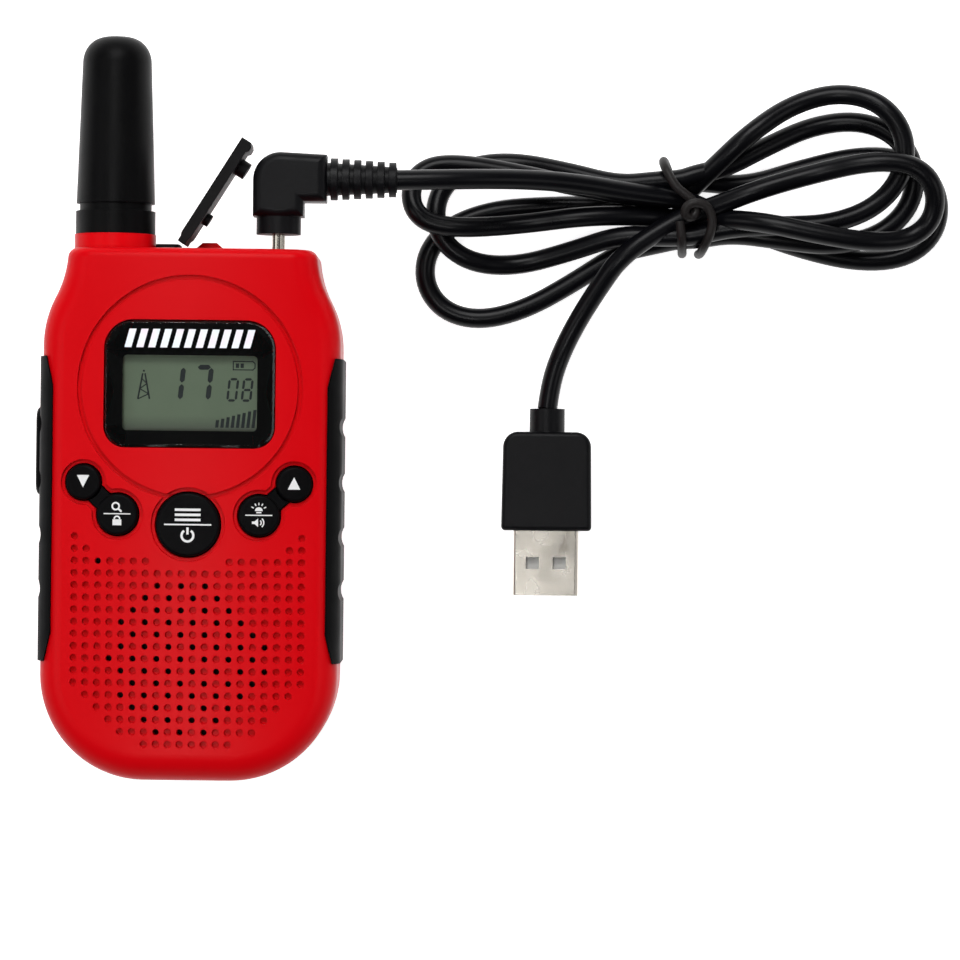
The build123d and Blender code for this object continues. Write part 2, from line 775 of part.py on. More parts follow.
# ---------------------------------------------------------------- display
with BuildPart() as display_lens:
    with BuildSketch(Plane.XY.offset(seat_z + mask_thickness)):
        add(lens_plan(0))
    extrude(amount=case_depth)
    add(lens_top, mode=Mode.INTERSECT)
    chamfer(display_lens.faces().sort_by(Axis.Z)[-1].edges(), lens_bevel)
save(display_lens, "display_lens")

with BuildPart() as lens_mask:
    with BuildSketch(Plane.XY.offset(seat_z)):
        add(lens_plan(0))
        with Locations((0, window_y)):
            RectangleRounded(window_width, window_height, window_corner, mode=Mode.SUBTRACT)
    extrude(amount=mask_thickness)
save(lens_mask, "lens_mask")

glass_z = bezel_z - glass_thickness
with BuildPart() as lcd_glass:
    add(plate(0, window_y, glass_z, window_width + 2 * glass_margin, window_height + 2 * glass_margin,
              glass_thickness))
save(lcd_glass, "lcd_glass")

with BuildPart() as lcd_holder:
    holder_width = window_width + 2 * (glass_margin + holder_wall)
    holder_height = window_height + 2 * (glass_margin + holder_wall)
    add(plate(0, window_y, board_z, holder_width, holder_height, bezel_z - board_z))
    add(plate(0, window_y, glass_z, window_width + 2 * glass_margin + 2 * thread_gap,
              window_height + 2 * glass_margin + 2 * thread_gap, 2 * glass_thickness), mode=Mode.SUBTRACT)
    add(plate(0, window_y, board_z, window_width - 2 * holder_wall, window_height - 2 * holder_wall,
              glass_z - board_z), mode=Mode.SUBTRACT)
save(lcd_holder, "lcd_holder")

# ---------------------------------------------------------------- board, keys and switches
with BuildPart() as main_board:
    with BuildSketch(Plane.XY.offset(board_rear_z)):
        with Locations((0, (board_bottom_y + board_step_y) / 2)):
            Rectangle(2 * board_half, board_step_y - board_bottom_y)
        with Locations((0, (board_step_y + board_top_y) / 2)):
            Rectangle(2 * board_neck_half, board_top_y - board_step_y)
        with Locations(*board_screw_places):
            Circle(small_screw_radius + jack_gap, mode=Mode.SUBTRACT)
    extrude(amount=board_thickness)
save(main_board, "main_board")

with BuildPart() as shield_can:
    add(plate(0, can_y, board_rear_z - can_depth, can_width, can_height, can_depth, can_corner))
    add(plate(0, can_y, board_rear_z - can_depth + can_wall, can_width - 2 * can_wall,
              can_height - 2 * can_wall, can_depth, can_corner - can_wall), mode=Mode.SUBTRACT)
save(shield_can, "shield_can")

with BuildPart() as key_domes:
    for x, y, _ in keys.values():
        add(disc(x, y, board_z, dome_radius, dome_thickness))
save(key_domes, "key_domes")

with BuildPart() as keypad_mat:
    mat_low_y = menu_y - menu_radius / 2
    mat_high_y = arrow_y + arrow_radius
    with BuildSketch(Plane.XY.offset(board_z)):
        with Locations((0, (mat_low_y + mat_high_y) / 2)):
            RectangleRounded(2 * (arrow_x + mat_past_keys), mat_high_y - mat_low_y, mat_corner)
        with Locations(*board_screw_places):
            Circle(post_radius + 2 * key_gap, mode=Mode.SUBTRACT)
    extrude(amount=mat_thickness)
    with BuildSketch(Plane.XY.offset(board_z)):
        for x, y, radius in keys.values():
            with Locations((x, y)):
                Circle(dome_radius + key_gap)
    extrude(amount=mat_thickness, mode=Mode.SUBTRACT)
save(keypad_mat, "keypad_mat")


def key_neck(side):
    """The web that reaches towards the arrow key, above its flange and a little below the case."""
    with BuildPart() as neck:
        with BuildSketch(Plane.XY.offset(deck_z + key_travel + jack_gap)):
            add(pair_plan(side, 0))
            with Locations((side * pair_x, pair_y)):
                Circle(pair_radius / 2, mode=Mode.SUBTRACT)
            with Locations((side * arrow_x, arrow_y)):
                Circle(arrow_radius + key_gap, mode=Mode.SUBTRACT)
        extrude(amount=case_depth)
        add(neck_top, mode=Mode.INTERSECT)
    return neck.part


for name, (x, y, radius) in keys.items():
    with BuildPart() as key:
        with BuildSketch(Plane.XY.offset(deck_z - jack_gap)):
            with Locations((x, y)):
                Circle(radius)
        extrude(amount=case_depth)
        add(key_top, mode=Mode.INTERSECT)
        fillet(key.faces().sort_by(Axis.Z)[-1].edges(), key_edge)
        add(disc(x, y, deck_z - jack_gap - flange_thickness, radius + key_flange, flange_thickness))
        add(disc(x, y, dome_z + key_travel + jack_gap, key_stem_radius,
                 deck_z - flange_thickness - dome_z - key_travel - jack_gap))
        if radius == pair_radius:
            add(key_neck(1 if x > 0 else -1))
    save(key, name)

# ---------------------------------------------------------------- speaker and microphone
rim_z = speaker_z - cloth_thickness
with BuildPart() as speaker_cloth:
    add(disc(0, speaker_y, rim_z, speaker_radius, cloth_thickness))
save(speaker_cloth, "speaker_cloth")

back_z = rim_z - speaker_depth
floor_z = back_z + basket_wall
with BuildPart() as speaker_basket:
    with BuildSketch(Plane.XZ.offset(-speaker_y)):
        with BuildLine():
            Polyline(
                (magnet_radius, back_z),
                (speaker_radius - basket_taper, back_z),
                (speaker_radius, rim_z - basket_rim),
                (speaker_radius, rim_z),
                (speaker_radius - basket_rim, rim_z),
                (speaker_radius - basket_rim, rim_z - basket_rim + cone_wall),
                (speaker_radius - basket_taper - basket_wall, floor_z),
                (magnet_radius, floor_z),
                close=True,
            )
        make_face()
    revolve(axis=Axis((0, speaker_y, 0), (0, 0, 1)))
save(speaker_basket, "speaker_basket")

with BuildPart() as speaker_cone:
    cone_rim = speaker_radius - basket_rim - thread_gap
    with BuildSketch(Plane.XZ.offset(-speaker_y)):
        with BuildLine():
            Polyline(
                (0, rim_z - cone_depth),
                (cap_radius, rim_z - cone_depth - cone_edge),
                (cone_rim - basket_rim, rim_z - cone_edge),
                (cone_rim, rim_z - cone_edge),
                (cone_rim, rim_z - cone_edge - cone_wall),
                (cone_rim - basket_rim, rim_z - cone_edge - cone_wall),
                (cap_radius, rim_z - cone_depth - cone_edge - cone_wall),
                (0, rim_z - cone_depth - cone_wall),
                close=True,
            )
        make_face()
    revolve(axis=Axis((0, speaker_y, 0), (0, 0, 1)))
save(speaker_cone, "speaker_cone")

with BuildPart() as speaker_magnet:
    add(disc(0, speaker_y, floor_z - magnet_depth, magnet_radius, magnet_depth))
save(speaker_magnet, "speaker_magnet")

with BuildPart() as mic_boot:
    add(disc(mic_x, mic_y, mic_z - mic_depth - mic_boot_wall, mic_radius + mic_boot_wall,
             mic_depth + mic_boot_wall))
    add(disc(mic_x, mic_y, mic_z - mic_depth, mic_radius, mic_depth), mode=Mode.SUBTRACT)
save(mic_boot, "mic_boot")

with BuildPart() as microphone:
    add(disc(mic_x, mic_y, mic_z - mic_depth, mic_radius - thread_gap, mic_depth - thread_gap))
save(microphone, "microphone")

# ---------------------------------------------------------------- aerial
with BuildPart() as antenna_collar:
    add(rod(aerial_x, boss_y, split_z, collar_radius, collar_height))
    add(rod(aerial_x, collar_y, split_z, groove_radius, groove_height))
    add(rod(aerial_x, boss_y, split_z, stud_radius + thread_gap, collar_height + groove_height),
        mode=Mode.SUBTRACT)
save(antenna_collar, "antenna_collar")

with BuildPart() as antenna_sleeve:
    with BuildSketch(Plane.XY.offset(split_z)):
        with BuildLine():
            start = (aerial_x, sleeve_y)
            Line(start, (aerial_x + sleeve_radius, sleeve_y))
            Line((aerial_x + sleeve_radius, sleeve_y),
                 (aerial_x + sleeve_tip_radius, tip_y - dome_height))
            Bezier(
                (aerial_x + sleeve_tip_radius, tip_y - dome_height),
                (aerial_x + sleeve_tip_radius, tip_y - dome_height * dome_fullness),
                (aerial_x + sleeve_tip_radius * (1 - dome_fullness), tip_y),
                (aerial_x + tip_flat_radius, tip_y),
            )
            Line((aerial_x + tip_flat_radius, tip_y), (aerial_x, tip_y))
            Line((aerial_x, tip_y), start)
        make_face()
    revolve(axis=Axis((aerial_x, 0, split_z), (0, 1, 0)))
    add(rod(aerial_x, sleeve_y, split_z, sleeve_radius - sleeve_wall - coil_wire,
            sleeve_length - 2 * dome_height), mode=Mode.SUBTRACT)
save(antenna_sleeve, "antenna_sleeve")

with BuildPart() as antenna_coil:
    # A close wound coil: its turns show as rounds along the tube.
    coil_length = sleeve_length - 2 * dome_height - 2 * coil_gap
    turn_length = coil_length / (coil_turns + 1)
    with BuildSketch(Plane.XY.offset(split_z)):
        with Locations((aerial_x + coil_radius, sleeve_y + coil_gap + coil_length / 2)):
            Rectangle(coil_wire, coil_turns * turn_length)
            with GridLocations(0, turn_length, 1, coil_turns):
                Circle(turn_length * 0.55)
    revolve(axis=Axis((aerial_x, 0, split_z), (0, 1, 0)))
save(antenna_coil, "antenna_coil")

with BuildPart() as antenna_stud:
    add(rod(aerial_x, top_y - stud_inside, split_z, stud_radius, stud_inside + stud_outside))
save(antenna_stud, "antenna_stud")

with BuildPart() as antenna_nut:
    with BuildSketch(Plane.XZ.offset(-(inner_top_y - nut_height))):
        with Locations((aerial_x, split_z)):
            RegularPolygon(nut_flats / 2, 6, major_radius=False)
            Circle(stud_radius + thread_gap, mode=Mode.SUBTRACT)
    extrude(amount=-nut_height)
save(antenna_nut, "antenna_nut")

# ---------------------------------------------------------------- ports
def jack(x, width, bore, hole, bottom_z):
    """A jack under the board, its nose in the case's hole and its bore open at the top."""
    nose_y = top_y - nose_sunk
    with BuildPart() as made:
        with BuildSketch(Plane.XY.offset(bottom_z)):
            with Locations((x, inner_top_y - jack_set_back - jack_length / 2)):
                Rectangle(width, jack_length)
        extrude(amount=board_rear_z - bottom_z)
        add(rod(x, inner_top_y - 2 * jack_set_back, split_z, hole - jack_gap,
                nose_y - inner_top_y + 2 * jack_set_back))
        add(rod(x, nose_y - jack_depth, split_z, bore, jack_depth), mode=Mode.SUBTRACT)
    return made


charge_jack = jack(charge_x, charge_jack_width, charge_bore, charge_hole, split_z - charge_jack_low)
save(charge_jack, "charge_jack")
earphone_jack = jack(earphone_x, earphone_jack_width, earphone_bore, earphone_hole, split_z - earphone_jack_low)
save(earphone_jack, "earphone_jack")

hinge_y = top_y + hinge_height
with BuildPart() as port_cover_anchor:
    with BuildSketch(Plane.XZ.offset(-top_y)):
        with Locations(((strap_start_x + hinge_x - crease_gap) / 2, split_z)):
            RectangleRounded(hinge_x - crease_gap - strap_start_x, cover_width, strap_corner)
    extrude(amount=-strap_height)
    add(rod(peg_x, inner_top_y - anchor_peg_reach, split_z, anchor_peg_radius,
            top_y - inner_top_y + anchor_peg_reach + strap_height / 2))
save(port_cover_anchor, "port_cover_anchor")

cover_direction = (cos(radians(cover_angle)), sin(radians(cover_angle)), 0)
cover_plane = Plane(origin=(hinge_x, hinge_y, split_z - cover_width / 2), x_dir=cover_direction,
                    z_dir=(0, 0, 1))
with BuildPart() as port_cover:
    half = cover_thickness / 2
    with BuildSketch(cover_plane):
        with BuildLine():
            Polyline(
                (crease_gap, -crease_thickness / 2),
                (crease_gap + crease_length, -crease_thickness / 2),
                (crease_gap + crease_length + cover_ramp, -half),
                (cover_length - lip_length - lip_ramp, -half),
                (cover_length - lip_length, -half - lip_height),
                (cover_length - tip_bevel, -half - lip_height),
                (cover_length, -half - lip_height + tip_bevel_drop),
                (cover_length, half),
                (crease_gap + crease_length + cover_ramp, half),
                (crease_gap + crease_length, crease_thickness / 2),
                (crease_gap, crease_thickness / 2),
                close=True,
            )
        make_face()
    extrude(amount=cover_width)
    # Two round plugs that close the jacks.
    under = Plane(origin=cover_plane.from_local_coords((0, -half, cover_width / 2)),
                  x_dir=cover_direction, z_dir=(cover_direction[1], -cover_direction[0], 0))
    with BuildSketch(under):
        with Locations((charge_x - hinge_x, 0)):
            Circle(cover_plug_radius)
    extrude(amount=cover_plug_length)
    with BuildSketch(under):
        with Locations((earphone_x - hinge_x, 0)):
            Circle(earphone_bore - jack_gap)
    extrude(amount=earphone_plug_length)
save(port_cover, "port_cover")

# ---------------------------------------------------------------- lamp
with BuildPart() as lamp_lens:
    add(rod(0, foot_y + lamp_sunk, lamp_z, lamp_lens_radius, lamp_lens_height))
save(lamp_lens, "lamp_lens")

with BuildPart() as lamp_led:
    add(rod(0, foot_y + lamp_sunk + lamp_lens_height, lamp_z, lamp_radius, lamp_length))
    fillet(lamp_led.faces().sort_by(Axis.Y)[0].edges(), lamp_nose)
save(lamp_led, "lamp_led")

# ---------------------------------------------------------------- battery
with BuildPart() as battery_pack:
    add(plate(0, battery_y, battery_z, battery_width, battery_height, battery_depth,
              battery_corner))
save(battery_pack, "battery_pack")

with BuildPart() as battery_contacts:
    with BuildSketch(Plane.XY.offset(battery_z + contact_rise + door_gap)):
        for step in (-1, 0, 1):
            with Locations((step * contact_pitch, (battery_top_y + door_top_y) / 2 + partition)):
                Rectangle(contact_width, 2 * partition + door_top_y - battery_top_y)
    extrude(amount=contact_width)
save(battery_contacts, "battery_contacts")

# ---------------------------------------------------------------- screws
with BuildPart() as case_screws:
    head_z = case_rear_z + screw_recess
    for x, y in case_screw_places:
        add(disc(x, y, head_z, screw_head_radius, screw_head_height))
        add(disc(x, y, head_z + screw_head_height, screw_radius, case_screw_length))
        add(plate(x, y, head_z, 1.4 * screw_head_radius, slot_width, slot_width), mode=Mode.SUBTRACT)
        add(plate(x, y, head_z, slot_width, 1.4 * screw_head_radius, slot_width), mode=Mode.SUBTRACT)
save(case_screws, "case_screws")

with BuildPart() as board_screws:
    for x, y in board_screw_places:
        add(disc(x, y, board_rear_z - small_head_height, small_head_radius, small_head_height))
        add(disc(x, y, board_rear_z, small_screw_radius, small_screw_length))
save(board_screws, "board_screws")

# ---------------------------------------------------------------- belt clip
bracket_z = case_rear_z - bracket_thickness
ear_inner = clip_half + ear_gap
with BuildPart() as clip_bracket:
    with BuildSketch(Plane.XY.offset(bracket_z)):
        with Locations((0, (bracket_low_y + bracket_high_y) / 2)):
            RectangleRounded(2 * (ear_inner + ear_thickness), bracket_high_y - bracket_low_y, bracket_corner)
        with Locations(*bracket_screw_places):
            Circle(small_screw_radius + jack_gap, mode=Mode.SUBTRACT)
    extrude(amount=bracket_thickness)
    for side in (-1, 1):
        with BuildSketch(Plane.YZ.offset(side * (ear_inner + ear_thickness / 2))):
            with BuildLine():
                reach = ear_half_length
                left = Line((clip_pin_y - reach, bracket_z), (clip_pin_y - reach, clip_pin_z))
                tip = ThreePointArc(left @ 1, (clip_pin_y, clip_pin_z - reach),
                                    (clip_pin_y + reach, clip_pin_z))
                Line(tip @ 1, (clip_pin_y + reach, bracket_z))
                Line((clip_pin_y + reach, bracket_z), left @ 0)
            make_face()
            with Locations((clip_pin_y, clip_pin_z)):
                Circle(clip_pin_radius + pin_gap, mode=Mode.SUBTRACT)
        extrude(amount=ear_thickness / 2, both=True)
save(clip_bracket, "clip_bracket")

with BuildPart() as bracket_screws:
    for x, y in bracket_screw_places:
        add(disc(x, y, bracket_z - small_head_height, small_head_radius, small_head_height))
        add(disc(x, y, bracket_z, small_screw_radius, bracket_thickness + wall))
save(bracket_screws, "bracket_screws")

with BuildPart() as clip_pin:
    with BuildSketch(Plane.YZ.offset(-(ear_inner + ear_thickness))):
        with Locations((clip_pin_y, clip_pin_z)):
            Circle(clip_pin_radius)
    extrude(amount=2 * (ear_inner + ear_thickness))
save(clip_pin, "clip_pin")

with BuildPart() as belt_clip:
    with BuildSketch(Plane.XY):
        with Locations((0, (clip_low_y + clip_high_y) / 2)):
            Rectangle(2 * clip_half, clip_high_y - clip_low_y)
    extrude(amount=clip_thickness)
    fillet(belt_clip.edges().filter_by(Axis.Z).group_by(Axis.Y)[0], clip_corner)
    fillet(belt_clip.edges().filter_by(Axis.Z).group_by(Axis.Y)[-1], clip_top_corner)
    with BuildSketch(Plane.XY.offset(clip_thickness)):
        with Locations((0, clip_low_y + clip_rib_inset + clip_rib / 2)):
            SlotOverall(clip_half, clip_rib)
    extrude(amount=case_rear_z - clip_tip_gap - clip_thickness)
    with BuildSketch(Plane.YZ.offset(-clip_half)):
        with Locations((clip_pin_y, clip_pin_z)):
            Circle(knuckle_radius)
        with Locations((clip_pin_y, (clip_pin_z + clip_thickness / 2) / 2)):
            Rectangle(2 * knuckle_radius, clip_pin_z - clip_thickness / 2)
    extrude(amount=2 * clip_half)
    with BuildSketch(Plane.YZ.offset(-clip_half)):
        with Locations((clip_pin_y, clip_pin_z)):
            Circle(clip_pin_radius + pin_gap)
    extrude(amount=2 * clip_half, mode=Mode.SUBTRACT)
    with BuildSketch(Plane.YZ.offset(-spring_half - spring_gap)):
        with Locations((clip_pin_y, clip_pin_z + 2 * spring_room)):
            Rectangle(2 * (knuckle_radius + spring_room), 2 * (clip_pin_z + 2 * spring_room - clip_thickness))
    extrude(amount=2 * (spring_half + spring_gap), mode=Mode.SUBTRACT)
save(belt_clip, "belt_clip")

with BuildPart() as clip_spring:
    # A torsion spring round the pin: its coils show as rounds, and one leg lies along the lever.
    coils = int(2 * spring_half / spring_wire)
    coil_centre = clip_pin_radius + pin_gap + spring_wire / 2
    with BuildSketch(Plane.XY.offset(clip_pin_z)):
        with Locations((0, clip_pin_y + coil_centre)):
            Rectangle(2 * spring_half - spring_wire, spring_wire * 0.5)
            with GridLocations(spring_wire, 0, coils, 1):
                Circle(spring_wire * 0.5)
    revolve(axis=Axis((0, clip_pin_y, clip_pin_z), (1, 0, 0)))
    leg_z = clip_thickness + spring_wire / 2
    add(rod(0, clip_pin_y - spring_leg, leg_z, spring_wire / 2, spring_leg))
save(clip_spring, "clip_spring")

# ---------------------------------------------------------------- charging lead
plug_y = top_y + plug_gap
stem_y = plug_y + plug_collar_height
stem_top_y = stem_y + plug_stem_height
arm_y = stem_top_y - plug_arm_drop
with BuildPart() as charge_plug_barrel:
    add(rod(charge_x, plug_y - barrel_length, split_z, barrel_radius, barrel_length))
    fillet(charge_plug_barrel.faces().sort_by(Axis.Y)[0].edges(), barrel_edge)
save(charge_plug_barrel, "charge_plug_barrel")

with BuildPart() as charge_plug_body:
    add(rod(charge_x, plug_y, split_z, plug_collar_radius, plug_collar_height))
    with BuildSketch(Plane.XY.offset(split_z - plug_stem_width / 2)):
        with BuildLine():
            left_x = charge_x - plug_stem_width / 2
            Line((left_x, stem_y), (left_x, stem_top_y - plug_stem_corner))
            RadiusArc((left_x, stem_top_y - plug_stem_corner), (left_x + plug_stem_corner, stem_top_y),
                      plug_stem_corner)
            Polyline((left_x + plug_stem_corner, stem_top_y), (plug_arm_x, arm_y + plug_arm_radius),
                     (plug_arm_x, arm_y - plug_arm_radius),
                     (charge_x + plug_stem_width / 2, arm_y - plug_arm_radius),
                     (charge_x + plug_stem_width / 2, stem_y), (left_x, stem_y))
        make_face()
    extrude(amount=plug_stem_width)
    fillet(charge_plug_body.faces().sort_by(Axis.Z)[-1].edges(), plug_edge)
    fillet(charge_plug_body.faces().sort_by(Axis.Z)[0].edges(), plug_edge)
    # Ribbed strain relief.
    rib_length = (relief_end_x - plug_arm_x) / relief_ribs
    with BuildSketch(Plane.XY.offset(split_z)):
        with BuildLine():
            Polyline(
                (plug_arm_x - relief_root, arm_y),
                (plug_arm_x - relief_root, arm_y + relief_start_radius - relief_groove),
                (relief_end_x, arm_y + relief_end_radius - relief_groove),
                (relief_end_x, arm_y),
                close=True,
            )
        make_face()
        for rib in range(relief_ribs):
            share = (rib + 0.5) / relief_ribs
            radius = relief_start_radius + share * (relief_end_radius - relief_start_radius)
            with Locations((plug_arm_x + (rib + rib_place) * rib_length, arm_y + radius / 2)):
                Rectangle(rib_length * rib_share, radius)
    revolve(axis=Axis((0, arm_y, split_z), (1, 0, 0)))
save(charge_plug_body, "charge_plug_body")

# The cord leaves the relief level, comes down over the hank's left loops and goes through the tie.
lead_in_points = [
    (relief_end_x, arm_y, split_z),
    (43.5, 41.9, 21.0),
    (52.5, 42.3, 18.6),
    (61.5, 42.5, 15.2),
    (70.0, 42.0, 12.6),
    (78.5, 40.8, 9.8),
]
tail_points = [
    (77.9, 29.5, 8.6),
    (73.7, 23.4, 5.9),
    (69.8, 17.2, 4.0),
    (66.7, 10.9, 3.0),
    (64.9, 5.2, 3.5),
    (usb_x, usb_y, usb_z),
]


def cord_radii(points):
    """The radius of each bend: 0.45 of the shorter run over the tangent of half the turn."""
    radii = []
    for before, at, after in zip(points, points[1:], points[2:]):
        first = Vector(at) - Vector(before)
        second = Vector(after) - Vector(at)
        turn = radians(first.get_angle(second))
        radii.append(0.45 * min(first.length, second.length) / tan(turn / 2))
    return radii


for name, points in (("cord_lead_in", lead_in_points), ("cord_tail", tail_points)):
    radii = cord_radii(points)
    with BuildPart() as cord:
        with BuildLine() as path:
            FilletPolyline(*points, radius=radii)
        start = Plane(origin=path.line @ 0, z_dir=path.line % 0)
        with BuildSketch(start):
            Circle(cord_diameter / 2)
        sweep(path=path.line)
    expected = pi * cord_diameter**2 / 4 * path.wire().length
    print(name, "radii", [round(radius, 1) for radius in radii],
          "volume", round(cord.part.volume, 1), "section x length", round(expected, 1))
    save(cord, name)

tie_inside = hank_height - tie_wire - 2 * tie_sunk
with BuildPart() as tie_room:
    # Everything of the hank outside its tied waist, over the tie's length.
    with BuildSketch(Plane.YZ.offset(tie_x - tie_length / 2 - tie_gap)):
        with Locations(((tie_low_y + tie_high_y) / 2, hank_height / 2)):
            Rectangle(gap_z, gap_z)
            RectangleRounded(tie_high_y - tie_low_y, tie_inside, tie_corner, mode=Mode.SUBTRACT)
    extrude(amount=tie_length + 2 * tie_gap)

with BuildPart() as cord_hank:
    with BuildSketch(Plane.XY):
        with BuildLine():
            FilletPolyline(
                (35.8, 36.5), (38.8, 22.0), (44.0, 15.5), (60.0, 15.5), (76.0, 22.1), (84.0, 29.6),
                (93.0, 31.1), (108.0, 27.6), (124.0, 27.6), (136.0, 30.6), (140.5, 37.0), (138.8, 45.6),
                (132.5, 54.6), (127.0, 60.1), (116.0, 61.4), (104.0, 55.5), (94.0, 46.1), (84.0, 44.7),
                (66.0, 48.1), (46.0, 48.1), (36.4, 43.5),
                radius=hank_corner, close=True,
            )
        make_face()
    extrude(amount=hank_height)
    fillet(cord_hank.faces().sort_by(Axis.Z)[-1].edges(), hank_edge)
    add(tie_room.part, mode=Mode.SUBTRACT)
save(cord_hank, "cord_hank")

with BuildPart() as hank_tie:
    with BuildSketch(Plane.YZ.offset(tie_x - tie_length / 2)):
        with Locations(((tie_low_y + tie_high_y) / 2, hank_height / 2)):
            inner_width = tie_high_y - tie_low_y + 2 * tie_gap
            inner_height = tie_inside + 2 * tie_gap
            RectangleRounded(inner_width + tie_wire, inner_height + tie_wire, tie_corner + tie_wire / 2)
            RectangleRounded(inner_width, inner_height, tie_corner, mode=Mode.SUBTRACT)
    extrude(amount=tie_length)
save(hank_tie, "hank_tie")

with BuildPart() as usb_plug_body:
    body_y = usb_y - usb_boot_length
    shell_y = body_y - usb_length
    with BuildSketch(Plane.XY.offset(usb_z - usb_depth / 2)):
        with BuildLine():
            Polyline(
                (usb_x - usb_width / 2 + usb_taper, body_y),
                (usb_x - usb_width / 2, shell_y),
                (usb_x + usb_width / 2, shell_y),
                (usb_x + usb_width / 2 - usb_taper, body_y),
                close=True,
            )
        make_face()
    extrude(amount=usb_depth)
    uprights = usb_plug_body.edges().filter_by(Axis.Z).group_by(Axis.Y)
    fillet(uprights[0], usb_shell_corner)
    fillet(uprights[-1], usb_cord_corner)
    fillet(usb_plug_body.faces().sort_by(Axis.Z)[-1].edges(), usb_edge)
    fillet(usb_plug_body.faces().sort_by(Axis.Z)[0].edges(), usb_edge)
    add(rod(usb_x, body_y - usb_root, usb_z, usb_boot_radius, usb_boot_length + usb_root))
save(usb_plug_body, "usb_plug_body")

with BuildPart() as usb_shell:
    with BuildSketch(Plane.XZ.offset(-(shell_y - usb_shell_length))):
        with Locations((usb_x, usb_z)):
            RectangleRounded(usb_shell_width, usb_shell_depth, usb_metal_corner)
            RectangleRounded(usb_shell_width - 2 * usb_shell_wall, usb_shell_depth - 2 * usb_shell_wall,
                             usb_metal_corner - usb_shell_wall, mode=Mode.SUBTRACT)
    extrude(amount=-usb_shell_length)
    # The two latch windows in the upper face.
    with BuildSketch(Plane.XY.offset(usb_z)):
        with Locations((usb_x, shell_y - usb_shell_length / 2)):
            with GridLocations(usb_window_pitch, 0, 2, 1):
                Rectangle(usb_window_width, usb_window_length)
    extrude(amount=usb_shell_depth, mode=Mode.SUBTRACT)
save(usb_shell, "usb_shell")

with BuildPart() as usb_insert:
    insert_z = usb_z - usb_shell_depth / 2 + usb_shell_wall + thread_gap + usb_insert_thickness / 2
    with BuildSketch(Plane.XZ.offset(-(shell_y - usb_shell_length + usb_insert_sunk))):
        with Locations((usb_x, insert_z)):
            Rectangle(usb_shell_width - 2 * usb_shell_wall - 4 * jack_gap, usb_insert_thickness)
    extrude(amount=-(usb_shell_length - usb_insert_sunk))
save(usb_insert, "usb_insert")
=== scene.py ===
import math

import bmesh
import bpy
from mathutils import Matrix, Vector


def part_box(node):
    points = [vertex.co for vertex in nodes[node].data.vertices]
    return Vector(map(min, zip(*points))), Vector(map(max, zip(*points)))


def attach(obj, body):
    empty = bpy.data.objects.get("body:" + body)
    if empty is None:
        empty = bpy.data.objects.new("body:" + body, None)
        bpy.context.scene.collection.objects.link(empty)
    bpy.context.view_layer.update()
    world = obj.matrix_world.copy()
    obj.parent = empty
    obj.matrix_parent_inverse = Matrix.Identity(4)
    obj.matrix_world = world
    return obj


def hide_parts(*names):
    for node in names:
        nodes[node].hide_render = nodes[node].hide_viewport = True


# The looks of a toy two-way radio that lies on its back on its belt clip, with its charging lead
# plugged in and tied in a hank beside it. X runs across the front, Y along the aerial, Z out of
# the display. The scene is in metres; sizes that are multiplied by MM, or said to be in mm, are
# in millimetres.

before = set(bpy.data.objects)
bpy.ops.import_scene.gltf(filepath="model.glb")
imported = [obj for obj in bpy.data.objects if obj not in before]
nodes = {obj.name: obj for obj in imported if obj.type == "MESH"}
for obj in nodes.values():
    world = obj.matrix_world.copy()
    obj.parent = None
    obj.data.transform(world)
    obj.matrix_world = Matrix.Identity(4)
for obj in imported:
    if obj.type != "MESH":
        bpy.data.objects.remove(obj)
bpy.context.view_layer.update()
scene = bpy.context.scene
MM = 0.001

# ---------------------------------------------------------------- camera
CAMERA_PLACE = (0.05205, -0.01255, 0.770)
CAMERA_TURN = 0.65          # degrees; the radio leans by this much as seen
CAMERA_LENS = 154.7
CAMERA_SENSOR = 36.0

eye = bpy.data.cameras.new("camera")
eye.lens, eye.sensor_width = CAMERA_LENS, CAMERA_SENSOR
camera = bpy.data.objects.new("camera", eye)
camera.location = CAMERA_PLACE
camera.rotation_euler = (0, 0, math.radians(CAMERA_TURN))
scene.collection.objects.link(camera)
scene.camera = camera

# ---------------------------------------------------------------- charging lead, all in mm
CORD = 3.7                  # diameter of the lead
FLOOR_LIFT = CORD / 2 + 0.05
TIE = (88.5, 38.1)          # where the hank is tied
LOW, TOP = 3.45, 7.05       # heights of the two layers of cord inside the tie
TURN_POINTS = 13
TURN_SKIP = 0.6             # radians left off each end of a turn, near the tie
TURN_SPREAD = 1.6           # how late a loop opens out after the tie
SLOT_REACH, TIE_REACH = 8.0, 8.0
HUMP_SLOPE = 0.30           # how steeply the cord climbs over another
LEG_STEPS = 6
CORD_ROUNDNESS, CORD_FINENESS = 5, 6

lead_in = [(36.4, 41.7, 21.25), (43.5, 41.9, 21.0), (52.5, 42.3, 18.6), (61.5, 42.5, 15.2),
           (70.0, 42.0, 12.6), (78.5, 40.8, 9.8)]
tail = [(77.9, 29.5, 8.6), (73.7, 23.4, 5.9), (69.8, 17.2, 4.0), (66.7, 10.9, 3.0),
        (64.9, 5.2, 3.5), (64.4, 0.8, 4.0)]
